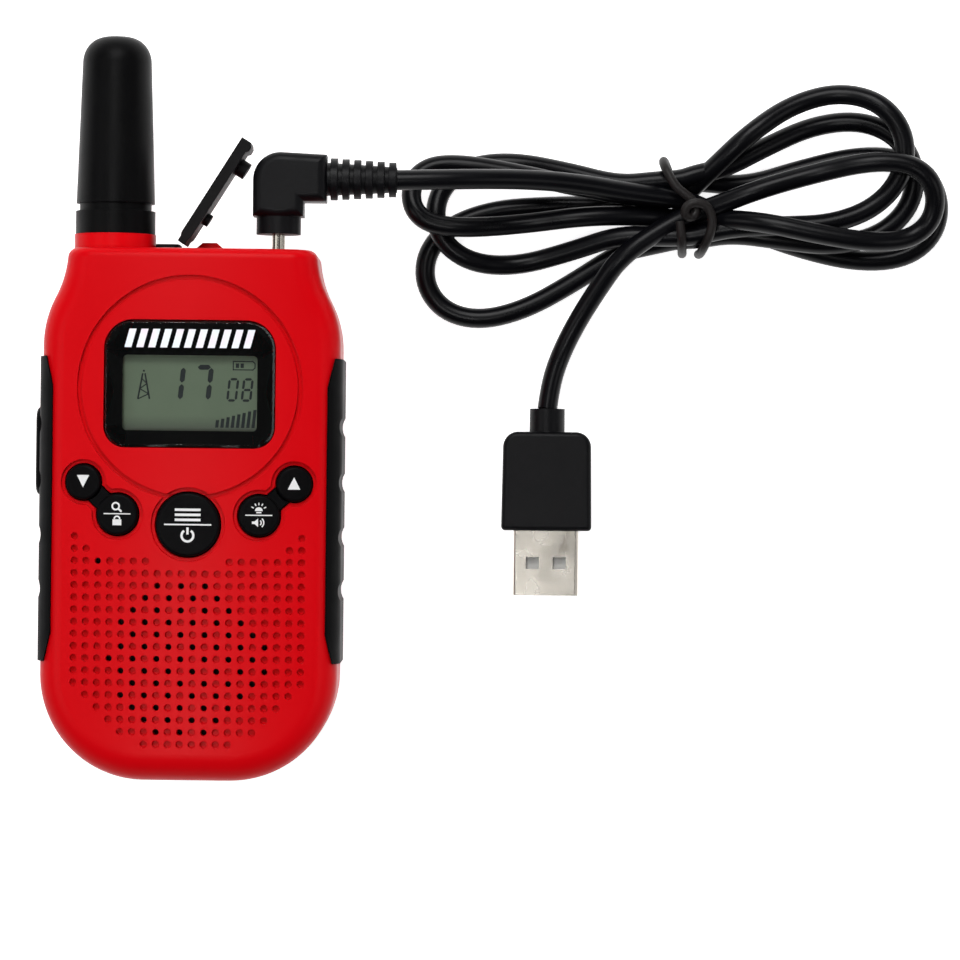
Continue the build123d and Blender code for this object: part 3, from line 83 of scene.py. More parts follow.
# Each loop of the hank: length, width, radius of its far end, direction in degrees, then how far
# up the bundle and in which layer it comes out of the tie and goes back in.
turns = [
    (48.8, 14.6, 10.0, 1.0, (1.8, TOP), (5.5, LOW)),
    (49.4, 14.4, 9.0, 197.0, (5.5, LOW), (-5.5, LOW)),
    (44.5, 17.0, 11.0, 10.0, (-5.5, LOW), (5.3, TOP)),
    (45.7, 14.4, 9.5, 182.0, (5.3, TOP), (-5.2, TOP)),
    (43.6, 17.4, 11.0, 19.0, (-5.2, TOP), (1.9, LOW)),
    (50.0, 8.8, 7.5, 177.5, (1.9, LOW), (-1.9, LOW)),
    (47.0, 11.0, 8.0, 2.0, (-1.9, LOW), (-1.7, TOP)),
]


def nurbs(name, places):
    """A smooth curve with these control points, in mm."""
    made = bpy.data.curves.new(name, "CURVE")
    made.dimensions = "3D"
    run = made.splines.new("NURBS")
    run.points.add(len(places) - 1)
    for point, place in zip(run.points, places):
        point.co = (*(c * MM for c in place), 1)
    run.order_u = 3
    run.use_endpoint_u = True
    return made


def turn_points(length, width, end_radius, direction, enter, leave):
    """One drop-shaped loop that leaves the tie and comes back: its points, the height it has in
    the tie, and how much of that height each point keeps."""
    a, made = math.radians(direction), []
    blunt = 1 - 2 * width ** 2 / (length * end_radius)
    for k in range(TURN_POINTS):
        t = TURN_SKIP + 2 * (math.pi - TURN_SKIP) * k / (TURN_POINTS - 1)
        u = length * math.sin(t / 2) ** 2 * (1 + blunt * math.cos(t / 2) ** 2)
        v = -width * math.sin(t) * math.sin(t / 2) ** TURN_SPREAD
        offset, height = enter if t < math.pi else leave
        made.append((
            TIE[0] + u * math.cos(a) - v * math.sin(a),
            TIE[1] + u * math.sin(a) + v * math.cos(a) + offset * math.exp(-(u / SLOT_REACH) ** 2),
            height,
            math.exp(-(u / TIE_REACH) ** 2),
        ))
    return made


def lay_over(points, under):
    """Heights at which a stretch of cord rests on the floor and on the cord laid before it."""
    need = [FLOOR_LIFT] * len(points)
    for i in range(len(points) - 1):
        a, b = points[i], points[i + 1]
        for k in range(LEG_STEPS + 1):
            x, y = (a[j] + (b[j] - a[j]) * k / LEG_STEPS for j in (0, 1))
            for ux, uy, uz in under:
                gap = CORD ** 2 - (x - ux) ** 2 - (y - uy) ** 2
                if gap > 0:
                    height = uz + math.sqrt(gap)
                    need[i], need[i + 1] = max(need[i], height), max(need[i + 1], height)
    eased = []
    for p in points:
        eased.append(max(n - HUMP_SLOPE * math.hypot(p[0] - q[0], p[1] - q[1])
                         for n, q in zip(need, points)))
    return [(p[0], p[1], h + (p[2] - h) * p[3]) for p, h in zip(points, eased)]


def along_legs(points):
    """Points along the straight legs between a stretch's control points."""
    return [tuple(a[j] + (b[j] - a[j]) * k / LEG_STEPS for j in range(3))
            for a, b in zip(points[:-1], points[1:]) for k in range(LEG_STEPS)]


route, laid = list(lead_in), []
for turn in turns:
    offset, height = turn[4]
    into = (TIE[0], TIE[1] + offset, height)
    loop = lay_over(turn_points(*turn), laid)
    route += [into] + loop
    laid += along_legs([into] + loop)
offset, height = turns[-1][5]
route += [(TIE[0], TIE[1] + offset, height)] + tail

lead = nurbs("charging_cord", route)
lead.bevel_depth = CORD / 2 * MM
lead.bevel_resolution = CORD_ROUNDNESS
lead.resolution_u = CORD_FINENESS
charging_cord = bpy.data.objects.new("charging_cord", lead)
scene.collection.objects.link(charging_cord)


# ---------------------------------------------------------------- helpers
WHITE = "#ffffff"
BEVEL_SAMPLES = 4


def shade(text):
    """An sRGB hex colour as linear red, green, blue and alpha."""
    parts = [int(text[i:i + 2], 16) / 255 for i in (1, 3, 5)]
    return (*(c / 12.92 if c <= 0.04045 else ((c + 0.055) / 1.055) ** 2.4 for c in parts), 1)


def add(tree, kind, inputs=None, **settings):
    """Adds a node with its settings, and fills or links its inputs."""
    node = tree.nodes.new(kind)
    for key, value in settings.items():
        setattr(node, key, value)
    for key, value in (inputs or {}).items():
        if isinstance(value, bpy.types.NodeSocket):
            tree.links.new(value, node.inputs[key])
        else:
            node.inputs[key].default_value = value
    return node


def blank(name):
    """A material with only its output node."""
    made = bpy.data.materials.new(name)
    made.use_nodes = True
    made.node_tree.nodes.clear()
    return made, made.node_tree


def moulded(name, light, dark, rough, grain, depth, edge=0.0, patch=8.0, rough_swing=0.06,
            stretch=(1, 1, 1), **shader):
    """A material whose colour and gloss drift slowly, over patches, between two near shades, with
    a fine raised grain and softly rounded edges. Grain, depth, edge and patch are in mm."""
    made, tree = blank(name)
    place = add(tree, "ShaderNodeTexCoord").outputs["Object"]
    grained = add(tree, "ShaderNodeMapping", {"Vector": place, "Scale": stretch})
    fine = add(tree, "ShaderNodeTexNoise", {
        "Vector": grained.outputs["Vector"], "Scale": 1 / (grain * MM), "Detail": 3.0})
    slow = add(tree, "ShaderNodeTexNoise", {
        "Vector": place, "Scale": 1 / (patch * MM), "Detail": 4.0, "Roughness": 0.6})
    mixed = add(tree, "ShaderNodeMix", {
        "Factor": slow.outputs["Fac"], 6: shade(dark), 7: shade(light)}, data_type="RGBA")
    gloss = add(tree, "ShaderNodeMapRange", {
        "Value": slow.outputs["Fac"], "From Min": 0.3, "From Max": 0.7,
        "To Min": rough - rough_swing, "To Max": rough + rough_swing})
    bump = {"Height": fine.outputs["Fac"], "Strength": 1.0, "Distance": depth * MM}
    if edge:
        bump["Normal"] = add(tree, "ShaderNodeBevel", {"Radius": edge * MM},
                             samples=BEVEL_SAMPLES).outputs[0]
    raised = add(tree, "ShaderNodeBump", bump)
    shader_node = add(tree, "ShaderNodeBsdfPrincipled", {
        "Base Color": mixed.outputs[2], "Roughness": gloss.outputs["Result"],
        "Normal": raised.outputs["Normal"],
        **{k.replace("_", " "): v for k, v in shader.items()}})
    add(tree, "ShaderNodeOutputMaterial", {"Surface": shader_node.outputs["BSDF"]})
    return made


# ---------------------------------------------------------------- materials
# ABS, injection moulded: an even, saturated red with a satin gloss and no visible texture.
red_abs = moulded("red_moulded_abs", "#dc0310", "#d6020c", 0.34, 0.35, 0.004, 0.25, 14.0, 0.03,
                  Specular_IOR_Level=0.07)
# Thermoplastic rubber, moulded: a soft charcoal black that scatters the light, with fine pits.
grip_tpe = moulded("grip_moulded_tpe", "#070708", "#050506", 0.5, 0.3, 0.02, 0.2, 5.0,
                   Specular_IOR_Level=0.05)
# Black ABS, spark eroded mould: a fine even grain that breaks up the highlights.
black_abs = moulded("black_textured_abs", "#101012", "#0b0b0c", 0.46, 0.3, 0.02, 0.2, 8.0,
                    Specular_IOR_Level=0.2)
# Antenna sheath, moulded rubber: nearly black, dull, with a broad soft highlight.
antenna_rubber = moulded("antenna_moulded_rubber", "#060607", "#040405", 0.42, 0.35, 0.012, 0.15,
                         9.0, Specular_IOR_Level=0.08)
# Cover and its strap, moulded rubber: black and dull, with a slight bloom.
cover_rubber = moulded("cover_moulded_rubber", "#0c0b0d", "#070708", 0.52, 0.3, 0.015, 0.15, 4.0,
                       Specular_IOR_Level=0.12)
# Silicone keys, moulded and coated: a smooth matt black.
key_silicone = moulded("key_coated_silicone", "#070608", "#050506", 0.45, 0.25, 0.008, 0.12, 4.0,
                       Specular_IOR_Level=0.05)
# Plug overmould, PVC: black with a slight sheen and a fine spark texture.
plug_pvc = moulded("plug_moulded_pvc", "#0a0a0d", "#070709", 0.42, 0.3, 0.014, 0.2, 5.0,
                   Specular_IOR_Level=0.13)
# Cord jacket, extruded PVC: satin black, with a long soft highlight down each strand.
cord_pvc = moulded("cord_extruded_pvc", "#0a0a0e", "#070709", 0.30, 0.9, 0.006, 0.0, 12.0, 0.04,
                   Specular_IOR_Level=0.14)
# Tie, PVC-coated wire: dark brown-black and duller than the cord that it holds.
tie_pvc = moulded("tie_coated_wire", "#1c1817", "#131010", 0.5, 0.4, 0.02, 0.0, 3.0,
                  Specular_IOR_Level=0.25)
# Ink printed behind the lens: a deep even black that shows under the gloss of the lens.
black_ink = moulded("lens_printed_ink", "#070708", "#050506", 0.6, 0.5, 0.002, 0.0, 9.0,
                    Specular_IOR_Level=0.05)
# Ink printed on the keys: an opaque, slightly chalky white.
white_ink = moulded("legend_printed_ink", "#f4f4f4", "#ececec", 0.55, 0.3, 0.004, 0.0, 2.0)
# Liquid crystal segments: a dark blue-grey, softened by the glass over them.
segment_ink = moulded("display_crystal_segments", "#1b2329", "#161d22", 0.6, 0.4, 0.002, 0.0, 3.0)
# Nickel plate, tumbled: a warm bright metal with fine handling marks.
nickel = moulded("nickel_tumbled_plate", "#c9c4bb", "#b5afa4", 0.24, 0.5, 0.006, 0.1, 6.0, 0.06,
                 Metallic=1.0)
# Spring steel, drawn: grey, with marks along the wire.
spring_steel = moulded("steel_drawn_wire", "#9d9fa3", "#85878b", 0.3, 0.4, 0.01, 0.0, 5.0,
                       Metallic=1.0)
# Screws, black zinc: dark grey metal with worn, lighter patches.
screw_steel = moulded("steel_black_zinc", "#3c3d40", "#242528", 0.38, 0.4, 0.012, 0.1, 2.0, 0.1,
                      Metallic=1.0)
# Shield and contacts, tinned sheet: pale, soft grey spangle.
tinned = moulded("steel_tinned_sheet", "#c6c8c8", "#a9acad", 0.32, 1.2, 0.006, 0.1, 3.0, 0.1,
                 Metallic=1.0)
# Magnet, sintered ferrite: dull dark grey, slightly gritty.
ferrite = moulded("magnet_sintered_ferrite", "#4a4a4d", "#3a3a3d", 0.7, 0.3, 0.03, 0.1, 4.0)
# Brass, turned: yellow, with rings from the tool.
brass = moulded("brass_turned", "#c9a95a", "#b3913f", 0.28, 0.3, 0.012, 0.08, 4.0,
                stretch=(0.2, 4, 0.2), Metallic=1.0)
# Coil, enamelled copper: reddish brown under clear varnish.
copper = moulded("copper_enamelled", "#b8683a", "#9a5129", 0.25, 0.5, 0.004, 0.0, 4.0,
                 Metallic=1.0, Coat_Weight=0.6, Coat_Roughness=0.1)
# Cone, pressed paper pulp: charcoal, with short fibres.
paper = moulded("cone_pressed_paper", "#2a2a2b", "#1d1d1e", 0.85, 0.5, 0.05, 0.0, 2.0,
                stretch=(1, 3, 1))
# Battery, shrink film: blue, glossy, with slight ripples.
battery_film = moulded("battery_shrink_film", "#1f4b86", "#1a3f73", 0.2, 4.0, 0.05, 0.3, 10.0)
# USB tongue, moulded: white and smooth.
white_abs = moulded("tongue_moulded_white", "#eeeeec", "#e4e4e0", 0.4, 0.4, 0.004, 0.1, 5.0)


def clear_acrylic():
    """Cast acrylic, polished: clear, with the studio's pale lights lying on it."""
    made, tree = blank("lens_polished_acrylic")
    place = add(tree, "ShaderNodeTexCoord").outputs["Object"]
    wave = add(tree, "ShaderNodeTexNoise", {"Vector": place, "Scale": 1 / (9 * MM), "Detail": 1.0})
    soft = add(tree, "ShaderNodeBevel", {"Radius": 0.15 * MM}, samples=BEVEL_SAMPLES)
    raised = add(tree, "ShaderNodeBump", {"Height": wave.outputs["Fac"], "Distance": 0.01 * MM,
                                          "Normal": soft.outputs[0]})
    gloss = add(tree, "ShaderNodeBsdfAnisotropic", {
        "Color": shade("#e6e6e6"), "Roughness": 0.06, "Normal": raised.outputs["Normal"]})
    through = add(tree, "ShaderNodeBsdfTransparent", {"Color": shade("#f6f8f7")})
    share = add(tree, "ShaderNodeFresnel", {"IOR": 1.49, "Normal": raised.outputs["Normal"]})
    both = add(tree, "ShaderNodeMixShader", {
        0: share.outputs["Fac"], 1: through.outputs[0], 2: gloss.outputs[0]})
    add(tree, "ShaderNodeOutputMaterial", {"Surface": both.outputs[0]})
    return made


def display_film():
    """Liquid crystal glass over its reflector: a green-grey with a fine pearly grain, and painted
    shade that darkens it along its foot."""
    made, tree = blank("display_reflector_film")
    place = add(tree, "ShaderNodeTexCoord").outputs["Object"]
    parts = add(tree, "ShaderNodeSeparateXYZ", {"Vector": place})
    # Painted shade: below 1.6 mm under the middle the colour darkens, down to #5e6358 at the foot.
    foot = add(tree, "ShaderNodeMapRange", {
        "Value": parts.outputs["Y"], "From Min": -4.6 * MM, "From Max": -1.6 * MM})
    grain = add(tree, "ShaderNodeTexNoise", {"Vector": place, "Scale": 1 / (0.35 * MM)})
    cloud = add(tree, "ShaderNodeTexNoise", {"Vector": place, "Scale": 1 / (7 * MM)})
    pale = add(tree, "ShaderNodeMix", {"Factor": cloud.outputs["Fac"], 6: shade("#7f8f76"),
                                       7: shade("#89987f")}, data_type="RGBA")
    tone_with_painted_shade = add(tree, "ShaderNodeMix", {"Factor": foot.outputs["Result"], 6: shade("#5e6358"),
                                        7: pale.outputs[2]}, data_type="RGBA")
    raised = add(tree, "ShaderNodeBump", {"Height": grain.outputs["Fac"], "Distance": 0.01 * MM})
    shader_node = add(tree, "ShaderNodeBsdfPrincipled", {
        "Base Color": tone_with_painted_shade.outputs[2], "Roughness": 0.42, "Normal": raised.outputs["Normal"],
        "Specular IOR Level": 0.3, "Sheen Weight": 0.1})
    add(tree, "ShaderNodeOutputMaterial", {"Surface": shader_node.outputs["BSDF"]})
    return made


def stamped_foil():
    """Hot-stamped foil: bright silver that turns faintly pink and blue across its length."""
    made, tree = blank("foil_hot_stamped")
    place = add(tree, "ShaderNodeTexCoord").outputs["Object"]
    drift = add(tree, "ShaderNodeTexNoise", {"Vector": place, "Scale": 1 / (5 * MM)})
    tint = add(tree, "ShaderNodeValToRGB", {"Fac": drift.outputs["Fac"]})
    for stop, colour, where in zip((0, 1), ("#f3e6f4", "#e9f2f8"), (0.35, 0.65)):
        tint.color_ramp.elements[stop].color = shade(colour)
        tint.color_ramp.elements[stop].position = where
    shader_node = add(tree, "ShaderNodeBsdfPrincipled", {
        "Base Color": tint.outputs["Color"], "Metallic": 0.35, "Roughness": 0.4})
    add(tree, "ShaderNodeOutputMaterial", {"Surface": shader_node.outputs["BSDF"]})
    return made


def solder_mask():
    """Fibreglass board under green solder mask: glossy green, with lighter copper tracks under it
    at a pitch of 1 mm."""
    made, tree = blank("board_solder_mask")
    place = add(tree, "ShaderNodeTexCoord").outputs["Object"]
    tracks = add(tree, "ShaderNodeTexBrick", {
        "Vector": place, "Color1": shade("#14532c"), "Color2": shade("#1b6136"),
        "Mortar": shade("#2b7a46"), "Scale": 1 / (4 * MM), "Mortar Size": 0.06,
        "Brick Width": 0.9, "Row Height": 0.25})
    raised = add(tree, "ShaderNodeBump", {"Height": tracks.outputs["Fac"], "Distance": 0.03 * MM})
    shader_node = add(tree, "ShaderNodeBsdfPrincipled", {
        "Base Color": tracks.outputs["Color"], "Roughness": 0.3,
        "Normal": raised.outputs["Normal"]})
    add(tree, "ShaderNodeOutputMaterial", {"Surface": shader_node.outputs["BSDF"]})
    return made


def dust_cloth():
    """Woven polyester: near black, with threads 0.4 mm apart, as coarse as shows through the
    holes of the grille."""
    made, tree = blank("cloth_woven_polyester")
    place = add(tree, "ShaderNodeTexCoord").outputs["Object"]
    threads = []
    for way in ("X", "Y"):
        threads.append(add(tree, "ShaderNodeTexWave", {
            "Vector": place, "Scale": 1 / (2.5 * MM) / 2, "Distortion": 0.4},
            bands_direction=way).outputs["Fac"])
    weave = add(tree, "ShaderNodeMath", {0: threads[0], 1: threads[1]}, operation="MULTIPLY")
    raised = add(tree, "ShaderNodeBump", {"Height": weave.outputs[0], "Distance": 0.1 * MM})
    tone = add(tree, "ShaderNodeMix", {"Factor": weave.outputs[0], 6: shade("#070707"),
                                       7: shade("#1b1b1b")}, data_type="RGBA")
    shader_node = add(tree, "ShaderNodeBsdfPrincipled", {
        "Base Color": tone.outputs[2], "Roughness": 0.9, "Normal": raised.outputs["Normal"],
        "Sheen Weight": 0.2})
    add(tree, "ShaderNodeOutputMaterial", {"Surface": shader_node.outputs["BSDF"]})
    return made


acrylic, film, foil, board, cloth = (
    clear_acrylic(), display_film(), stamped_foil(), solder_mask(), dust_cloth())
# Lamp, clear resin: glassy, with a cool tint.
lamp_resin = moulded("lamp_cast_resin", "#eef2f4", "#e2e8ec", 0.12, 0.8, 0.003, 0.1, 3.0,
                     Transmission_Weight=0.85, IOR=1.5)

finishes = {
    red_abs: ["front_shell", "rear_shell"],
    grip_tpe: ["left_grip", "right_grip", "ptt_button"],
    black_abs: ["battery_door", "belt_clip", "clip_bracket", "lcd_holder", "ptt_switch",
                "charge_jack", "earphone_jack", "speaker_basket"],
    antenna_rubber: ["antenna_sleeve", "antenna_collar"],
    cover_rubber: ["port_cover", "port_cover_anchor", "mic_boot"],
    key_silicone: ["down_key", "scan_key", "menu_key", "lamp_key", "up_key", "keypad_mat"],
    acrylic: ["display_lens"],
    black_ink: ["lens_mask"],
    film: ["lcd_glass"],
    board: ["main_board"],
    tinned: ["shield_can", "key_domes", "battery_contacts"],
    spring_steel: ["clip_spring", "clip_pin"],
    screw_steel: ["case_screws", "board_screws", "bracket_screws"],
    ferrite: ["speaker_magnet"],
    paper: ["speaker_cone"],
    cloth: ["speaker_cloth", "microphone"],
    copper: ["antenna_coil"],
    brass: ["antenna_stud", "antenna_nut"],
    lamp_resin: ["lamp_lens", "lamp_led"],
    battery_film: ["battery_pack"],
    plug_pvc: ["charge_plug_body", "usb_plug_body"],
    nickel: ["charge_plug_barrel", "usb_shell"],
    white_abs: ["usb_insert"],
}
for finish, names in finishes.items():
    for name in names:
        nodes[name].data.materials.clear()
        nodes[name].data.materials.append(finish)


# ---------------------------------------------------------------- printed and thin pieces
def piece(name, mesh, material, body):
    """A finished mesh as a piece of the object that rides on a body."""
    mesh.materials.clear()
    mesh.materials.append(material)
    made = bpy.data.objects.new(name, mesh)
    scene.collection.objects.link(made)
    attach(made, body)
    return made


def strip(points, width, closed=False):
    """Quads along a line of points in mm: a printed stroke of that width."""
    count, sides = len(points), []
    for i, p in enumerate(points):
        before = points[i - 1] if i or closed else p
        after = points[(i + 1) % count] if i < count - 1 or closed else p
        along = Vector((after[0] - before[0], after[1] - before[1])).normalized()
        out = Vector((-along.y, along.x)) * width / 2
        sides.append(((p[0] + out.x, p[1] + out.y), (p[0] - out.x, p[1] - out.y)))
    last = count if closed else count - 1
    return [[sides[i][1], sides[(i + 1) % count][1], sides[(i + 1) % count][0], sides[i][0]]
            for i in range(last)]


def ruled(x, y, length, width):
    """A printed rule across a key, in runs short enough to follow the key's bulge."""
    runs = math.ceil(length)
    return strip([(x - length / 2 + length * i / runs, y) for i in range(runs + 1)], width)


def arc(x, y, radius, start, end, steps=20):
    """Points round part of a circle, from one angle to another in degrees."""
    return [(x + radius * math.cos(math.radians(start + (end - start) * i / steps)),
             y + radius * math.sin(math.radians(start + (end - start) * i / steps)))
            for i in range(steps + 1)]


def printed(name, shapes, height, thickness, material, body):
    """A thin raised print made of flat outlines in mm, laid on the surface whose height in mm
    is a function of x."""
    work = bmesh.new()
    for shape in shapes:
        work.faces.new([work.verts.new((x * MM, y * MM, 0)) for x, y in shape])
    bmesh.ops.remove_doubles(work, verts=work.verts, dist=0.001 * MM)
    bmesh.ops.recalc_face_normals(work, faces=work.faces)
    if sum(f.normal.z for f in work.faces) < 0:
        bmesh.ops.reverse_faces(work, faces=work.faces)
    base = list(work.faces)
    risen = bmesh.ops.extrude_face_region(work, geom=base, use_keep_orig=True)["geom"]
    tops = {g for g in risen if isinstance(g, bmesh.types.BMVert)}
    for vert in work.verts:
        level = height(vert.co.x / MM) + (thickness if vert in tops else 0)
        vert.co.z = level * MM
    bmesh.ops.reverse_faces(work, faces=base)
    mesh = bpy.data.meshes.new(name)
    work.to_mesh(mesh)
    work.free()
    return piece(name, mesh, material, body)


CROWN_RADIUS = 140.5        # of the key tops
CROWN_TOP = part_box("menu_key")[1].z / MM
PRINT = 0.03                # thickness of the ink


def key_top(x):
    """Height of the bulging key tops at a distance x from the middle."""
    return CROWN_TOP - CROWN_RADIUS + math.sqrt(CROWN_RADIUS ** 2 - x ** 2)


ARROW_X, ARROW_Y = 18.85, -13.55
ARROW_HALF, ARROW_RISE = 1.12, 1.1
for name, side, up in (("down_arrow", -1, -1), ("up_arrow", 1, 1)):
    x, y = side * ARROW_X, ARROW_Y
    outline = [(x - ARROW_HALF, y - up * ARROW_RISE), (x + ARROW_HALF, y - up * ARROW_RISE),
               (x, y + up * ARROW_RISE)]
    printed(name, [outline], key_top, PRINT, white_ink,
            "down_key" if side < 0 else "up_key")

# Menu key: a list of three rules above the line, a power sign below it.
MENU_Y, MENU_LINE, MENU_STROKE = -21.1, 8.4, 0.26
LIST_LEVELS, LIST_LENGTH, LIST_STROKE = (0.85, 1.75, 2.65), 4.6, 0.46
POWER_Y, POWER_RADIUS, POWER_STROKE = MENU_Y - 1.95, 1.05, 0.42
POWER_START, POWER_END = 125, 415
marks = ruled(0, MENU_Y, MENU_LINE, MENU_STROKE)
for level in LIST_LEVELS:
    marks += ruled(0, MENU_Y + level, LIST_LENGTH, LIST_STROKE)
marks += strip(arc(0, POWER_Y, POWER_RADIUS, POWER_START, POWER_END), POWER_STROKE)
marks += strip([(0, POWER_Y + 0.2), (0, POWER_Y + 1.45)], POWER_STROKE)
printed("menu_legend", marks, key_top, PRINT, white_ink, "menu_key")

PAIR_X, PAIR_Y, PAIR_LINE, PAIR_STROKE = 12.65, -19.3, 4.8, 0.2
# Scan key: a magnifying glass above the line, a padlock below it.
x, y = -PAIR_X, PAIR_Y
marks = ruled(x, y, PAIR_LINE, PAIR_STROKE)
marks += strip(arc(x - 0.25, y + 1.35, 0.62, 0, 342, 19), 0.3, closed=True)
marks += strip([(x + 0.2, y + 0.92), (x + 0.82, y + 0.38)], 0.36)
marks += [[(x - 0.8, y - 2.05), (x + 0.8, y - 2.05), (x + 0.8, y - 1.0), (x - 0.8, y - 1.0)]]
marks += strip(arc(x, y - 0.95, 0.5, 0, 180, 12), 0.26)
printed("scan_legend", marks, key_top, PRINT, white_ink, "scan_key")

# Lamp key: a lamp with its rays above the line, a speaker with its waves below it.
RAY_ANGLES, RAY_START, RAY_END = (30, 62, 90, 118, 150), 1.05, 1.5
x = PAIR_X
marks = ruled(x, y, PAIR_LINE, PAIR_STROKE)
marks += [arc(x, y + 0.75, 0.7, 0, 180, 14)]
marks += strip([(x - 0.45, y + 0.48), (x + 0.45, y + 0.48)], 0.24)
for angle in RAY_ANGLES:
    a = math.radians(angle)
    marks += strip([(x + reach * math.cos(a), y + 0.75 + reach * math.sin(a))
                    for reach in (RAY_START, RAY_END)], PAIR_STROKE)
marks += [[(x - 1.2, y - 1.55), (x - 0.75, y - 1.55), (x - 0.1, y - 2.1), (x - 0.1, y - 0.55),
           (x - 0.75, y - 1.1), (x - 1.2, y - 1.1)]]
for reach in (0.55, 1.0):
    marks += strip(arc(x - 0.1, y - 1.33, reach, -48, 48, 10), 0.22)
printed("lamp_legend", marks, key_top, PRINT, white_ink, "lamp_key")

# ---------------------------------------------------------------- what the display shows
FILM_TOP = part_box("lcd_glass")[1].z / MM
WINDOW_Y = 2.4              # middle of the window
SEGMENT, LEAN = 0.02, 0.105  # thickness of the segments, and how far they lean for their height


def film_top(_):
    """Height of the display glass."""
    return FILM_TOP


def leaning(shapes, foot):
    """The shapes with their tops pushed to the right, as the display's figures lean."""
    return [[(px + (py - foot) * LEAN, py) for px, py in shape] for shape in shapes]


# The bars of a figure: top, upper right, lower right, foot, lower left, upper left, middle.
figures = {0: "abcdef", 1: "bc", 7: "abc", 8: "abcdefg"}


def figure(number, left, foot, width, tall, stroke):
    """A seven-bar figure whose bars have pointed ends and small gaps."""
    gap, half, mid = 0.1, stroke / 2, foot + tall / 2
    ends = {
        "a": ((left, foot + tall), (left + width, foot + tall)),
        "b": ((left + width, mid), (left + width, foot + tall)),
        "c": ((left + width, foot), (left + width, mid)),
        "d": ((left, foot), (left + width, foot)),
        "e": ((left, foot), (left, mid)),
        "f": ((left, mid), (left, foot + tall)),
        "g": ((left, mid), (left + width, mid)),
    }
    bars = []
    for letter in figures[number]:
        (ax, ay), (bx, by) = ends[letter]
        if ay == by:
            near, far = ax + gap, bx - gap
            bars.append([(near, ay), (near + half, ay - half), (far - half, ay - half),
                         (far, ay), (far - half, ay + half), (near + half, ay + half)])
        else:
            low, high = ay + gap, by - gap
            bars.append([(ax, low), (ax + half, low + half), (ax + half, high - half),
                         (ax, high), (ax - half, high - half), (ax - half, low + half)])
    return leaning(bars, foot)


FINE_STROKE = 0.2
LARGE, SMALL = (5.9, 0.9), (3.8, 0.44)      # height and stroke of a figure
shown = []
for number, left, width, (tall, stroke) in (
        (1, -5.0, 3.1, LARGE), (7, 0.5, 2.6, LARGE), (0, 6.6, 1.5, SMALL), (8, 9.2, 1.5, SMALL)):
    shown += figure(number, left, WINDOW_Y - 1.2, width, tall, stroke)

# A battery sign, open to its nose on the right, with two cells left in it.
CELL_LENGTH, CELL_HEIGHT, CELL_NOSE, CELL_LAP = 3.4, 1.5, 0.5, FINE_STROKE / 2
cell_x, cell_y = 7.6, WINDOW_Y + 4.3
cell_end, nose_x = cell_x + CELL_LENGTH, cell_x + CELL_LENGTH + CELL_NOSE
cell_foot, cell_head = cell_y - CELL_LAP, cell_y + CELL_HEIGHT + CELL_LAP
for line in (
    [(cell_x, cell_y), (cell_end, cell_y)],
    [(cell_x, cell_y + CELL_HEIGHT), (cell_end, cell_y + CELL_HEIGHT)],
    [(cell_x, cell_foot), (cell_x, cell_head)],
    [(cell_end, cell_head), (nose_x, cell_y + 1.15), (nose_x, cell_y + 0.35),
     (cell_end, cell_foot)],
):
    shown += strip(line, FINE_STROKE)
for i in range(2):
    left = cell_x + 0.45 + i * 0.85
    shown.append([(left, cell_y + 0.35), (left + 0.6, cell_y + 0.35), (left + 0.6, cell_y + 1.15),
                  (left, cell_y + 1.15)])

# A lattice mast: two legs, four braces and a dot above.
MAST_BRACES, MAST_STROKE, MAST_TAPER, MAST_TIP = 4, 0.3, 0.8, 0.2
mast_x, mast_y, mast_tall, mast_half = -8.4, WINDOW_Y - 1.1, 4.6, 1.05
for side in (-1, 1):
    shown += strip([(mast_x + side * mast_half, mast_y),
                    (mast_x + side * MAST_TIP, mast_y + mast_tall)], MAST_STROKE)
for i in range(MAST_BRACES):
    low, high = i / (MAST_BRACES + 1), (i + 1) / (MAST_BRACES + 1)
    wide, slim = mast_half * (1 - low * MAST_TAPER), mast_half * (1 - high * MAST_TAPER)
    side = 1 if i % 2 else -1
    shown += strip([(mast_x + side * wide, mast_y + mast_tall * low),
                    (mast_x - side * slim, mast_y + mast_tall * high)], FINE_STROKE)
shown.append(arc(mast_x, mast_y + mast_tall + 0.45, 0.2, 0, 330, 11))
printed("display_figures", shown, film_top, SEGMENT, segment_ink, "radio")


# ---------------------------------------------------------------- pieces made by a node tree
def open_tree(name, sizes):
    """A geometry tree with these inputs and one output, and the sockets that its inputs fill."""
    tree = bpy.data.node_groups.new(name, "GeometryNodeTree")
    for label, kind, value in sizes:
        socket = tree.interface.new_socket(label, in_out="INPUT", socket_type="NodeSocket" + kind)
        if value is not None:
            socket.default_value = value
    tree.interface.new_socket("Geometry", in_out="OUTPUT", socket_type="NodeSocketGeometry")
    return tree, add(tree, "NodeGroupInput").outputs


def close_tree(tree, shape, given):
    """Gives the shape its material and sends it out of the tree."""
    dressed = add(tree, "GeometryNodeSetMaterial", {
        "Geometry": shape.outputs[0], "Material": given["Finish"]})
    add(tree, "NodeGroupOutput", {"Geometry": dressed.outputs[0]})
    return tree


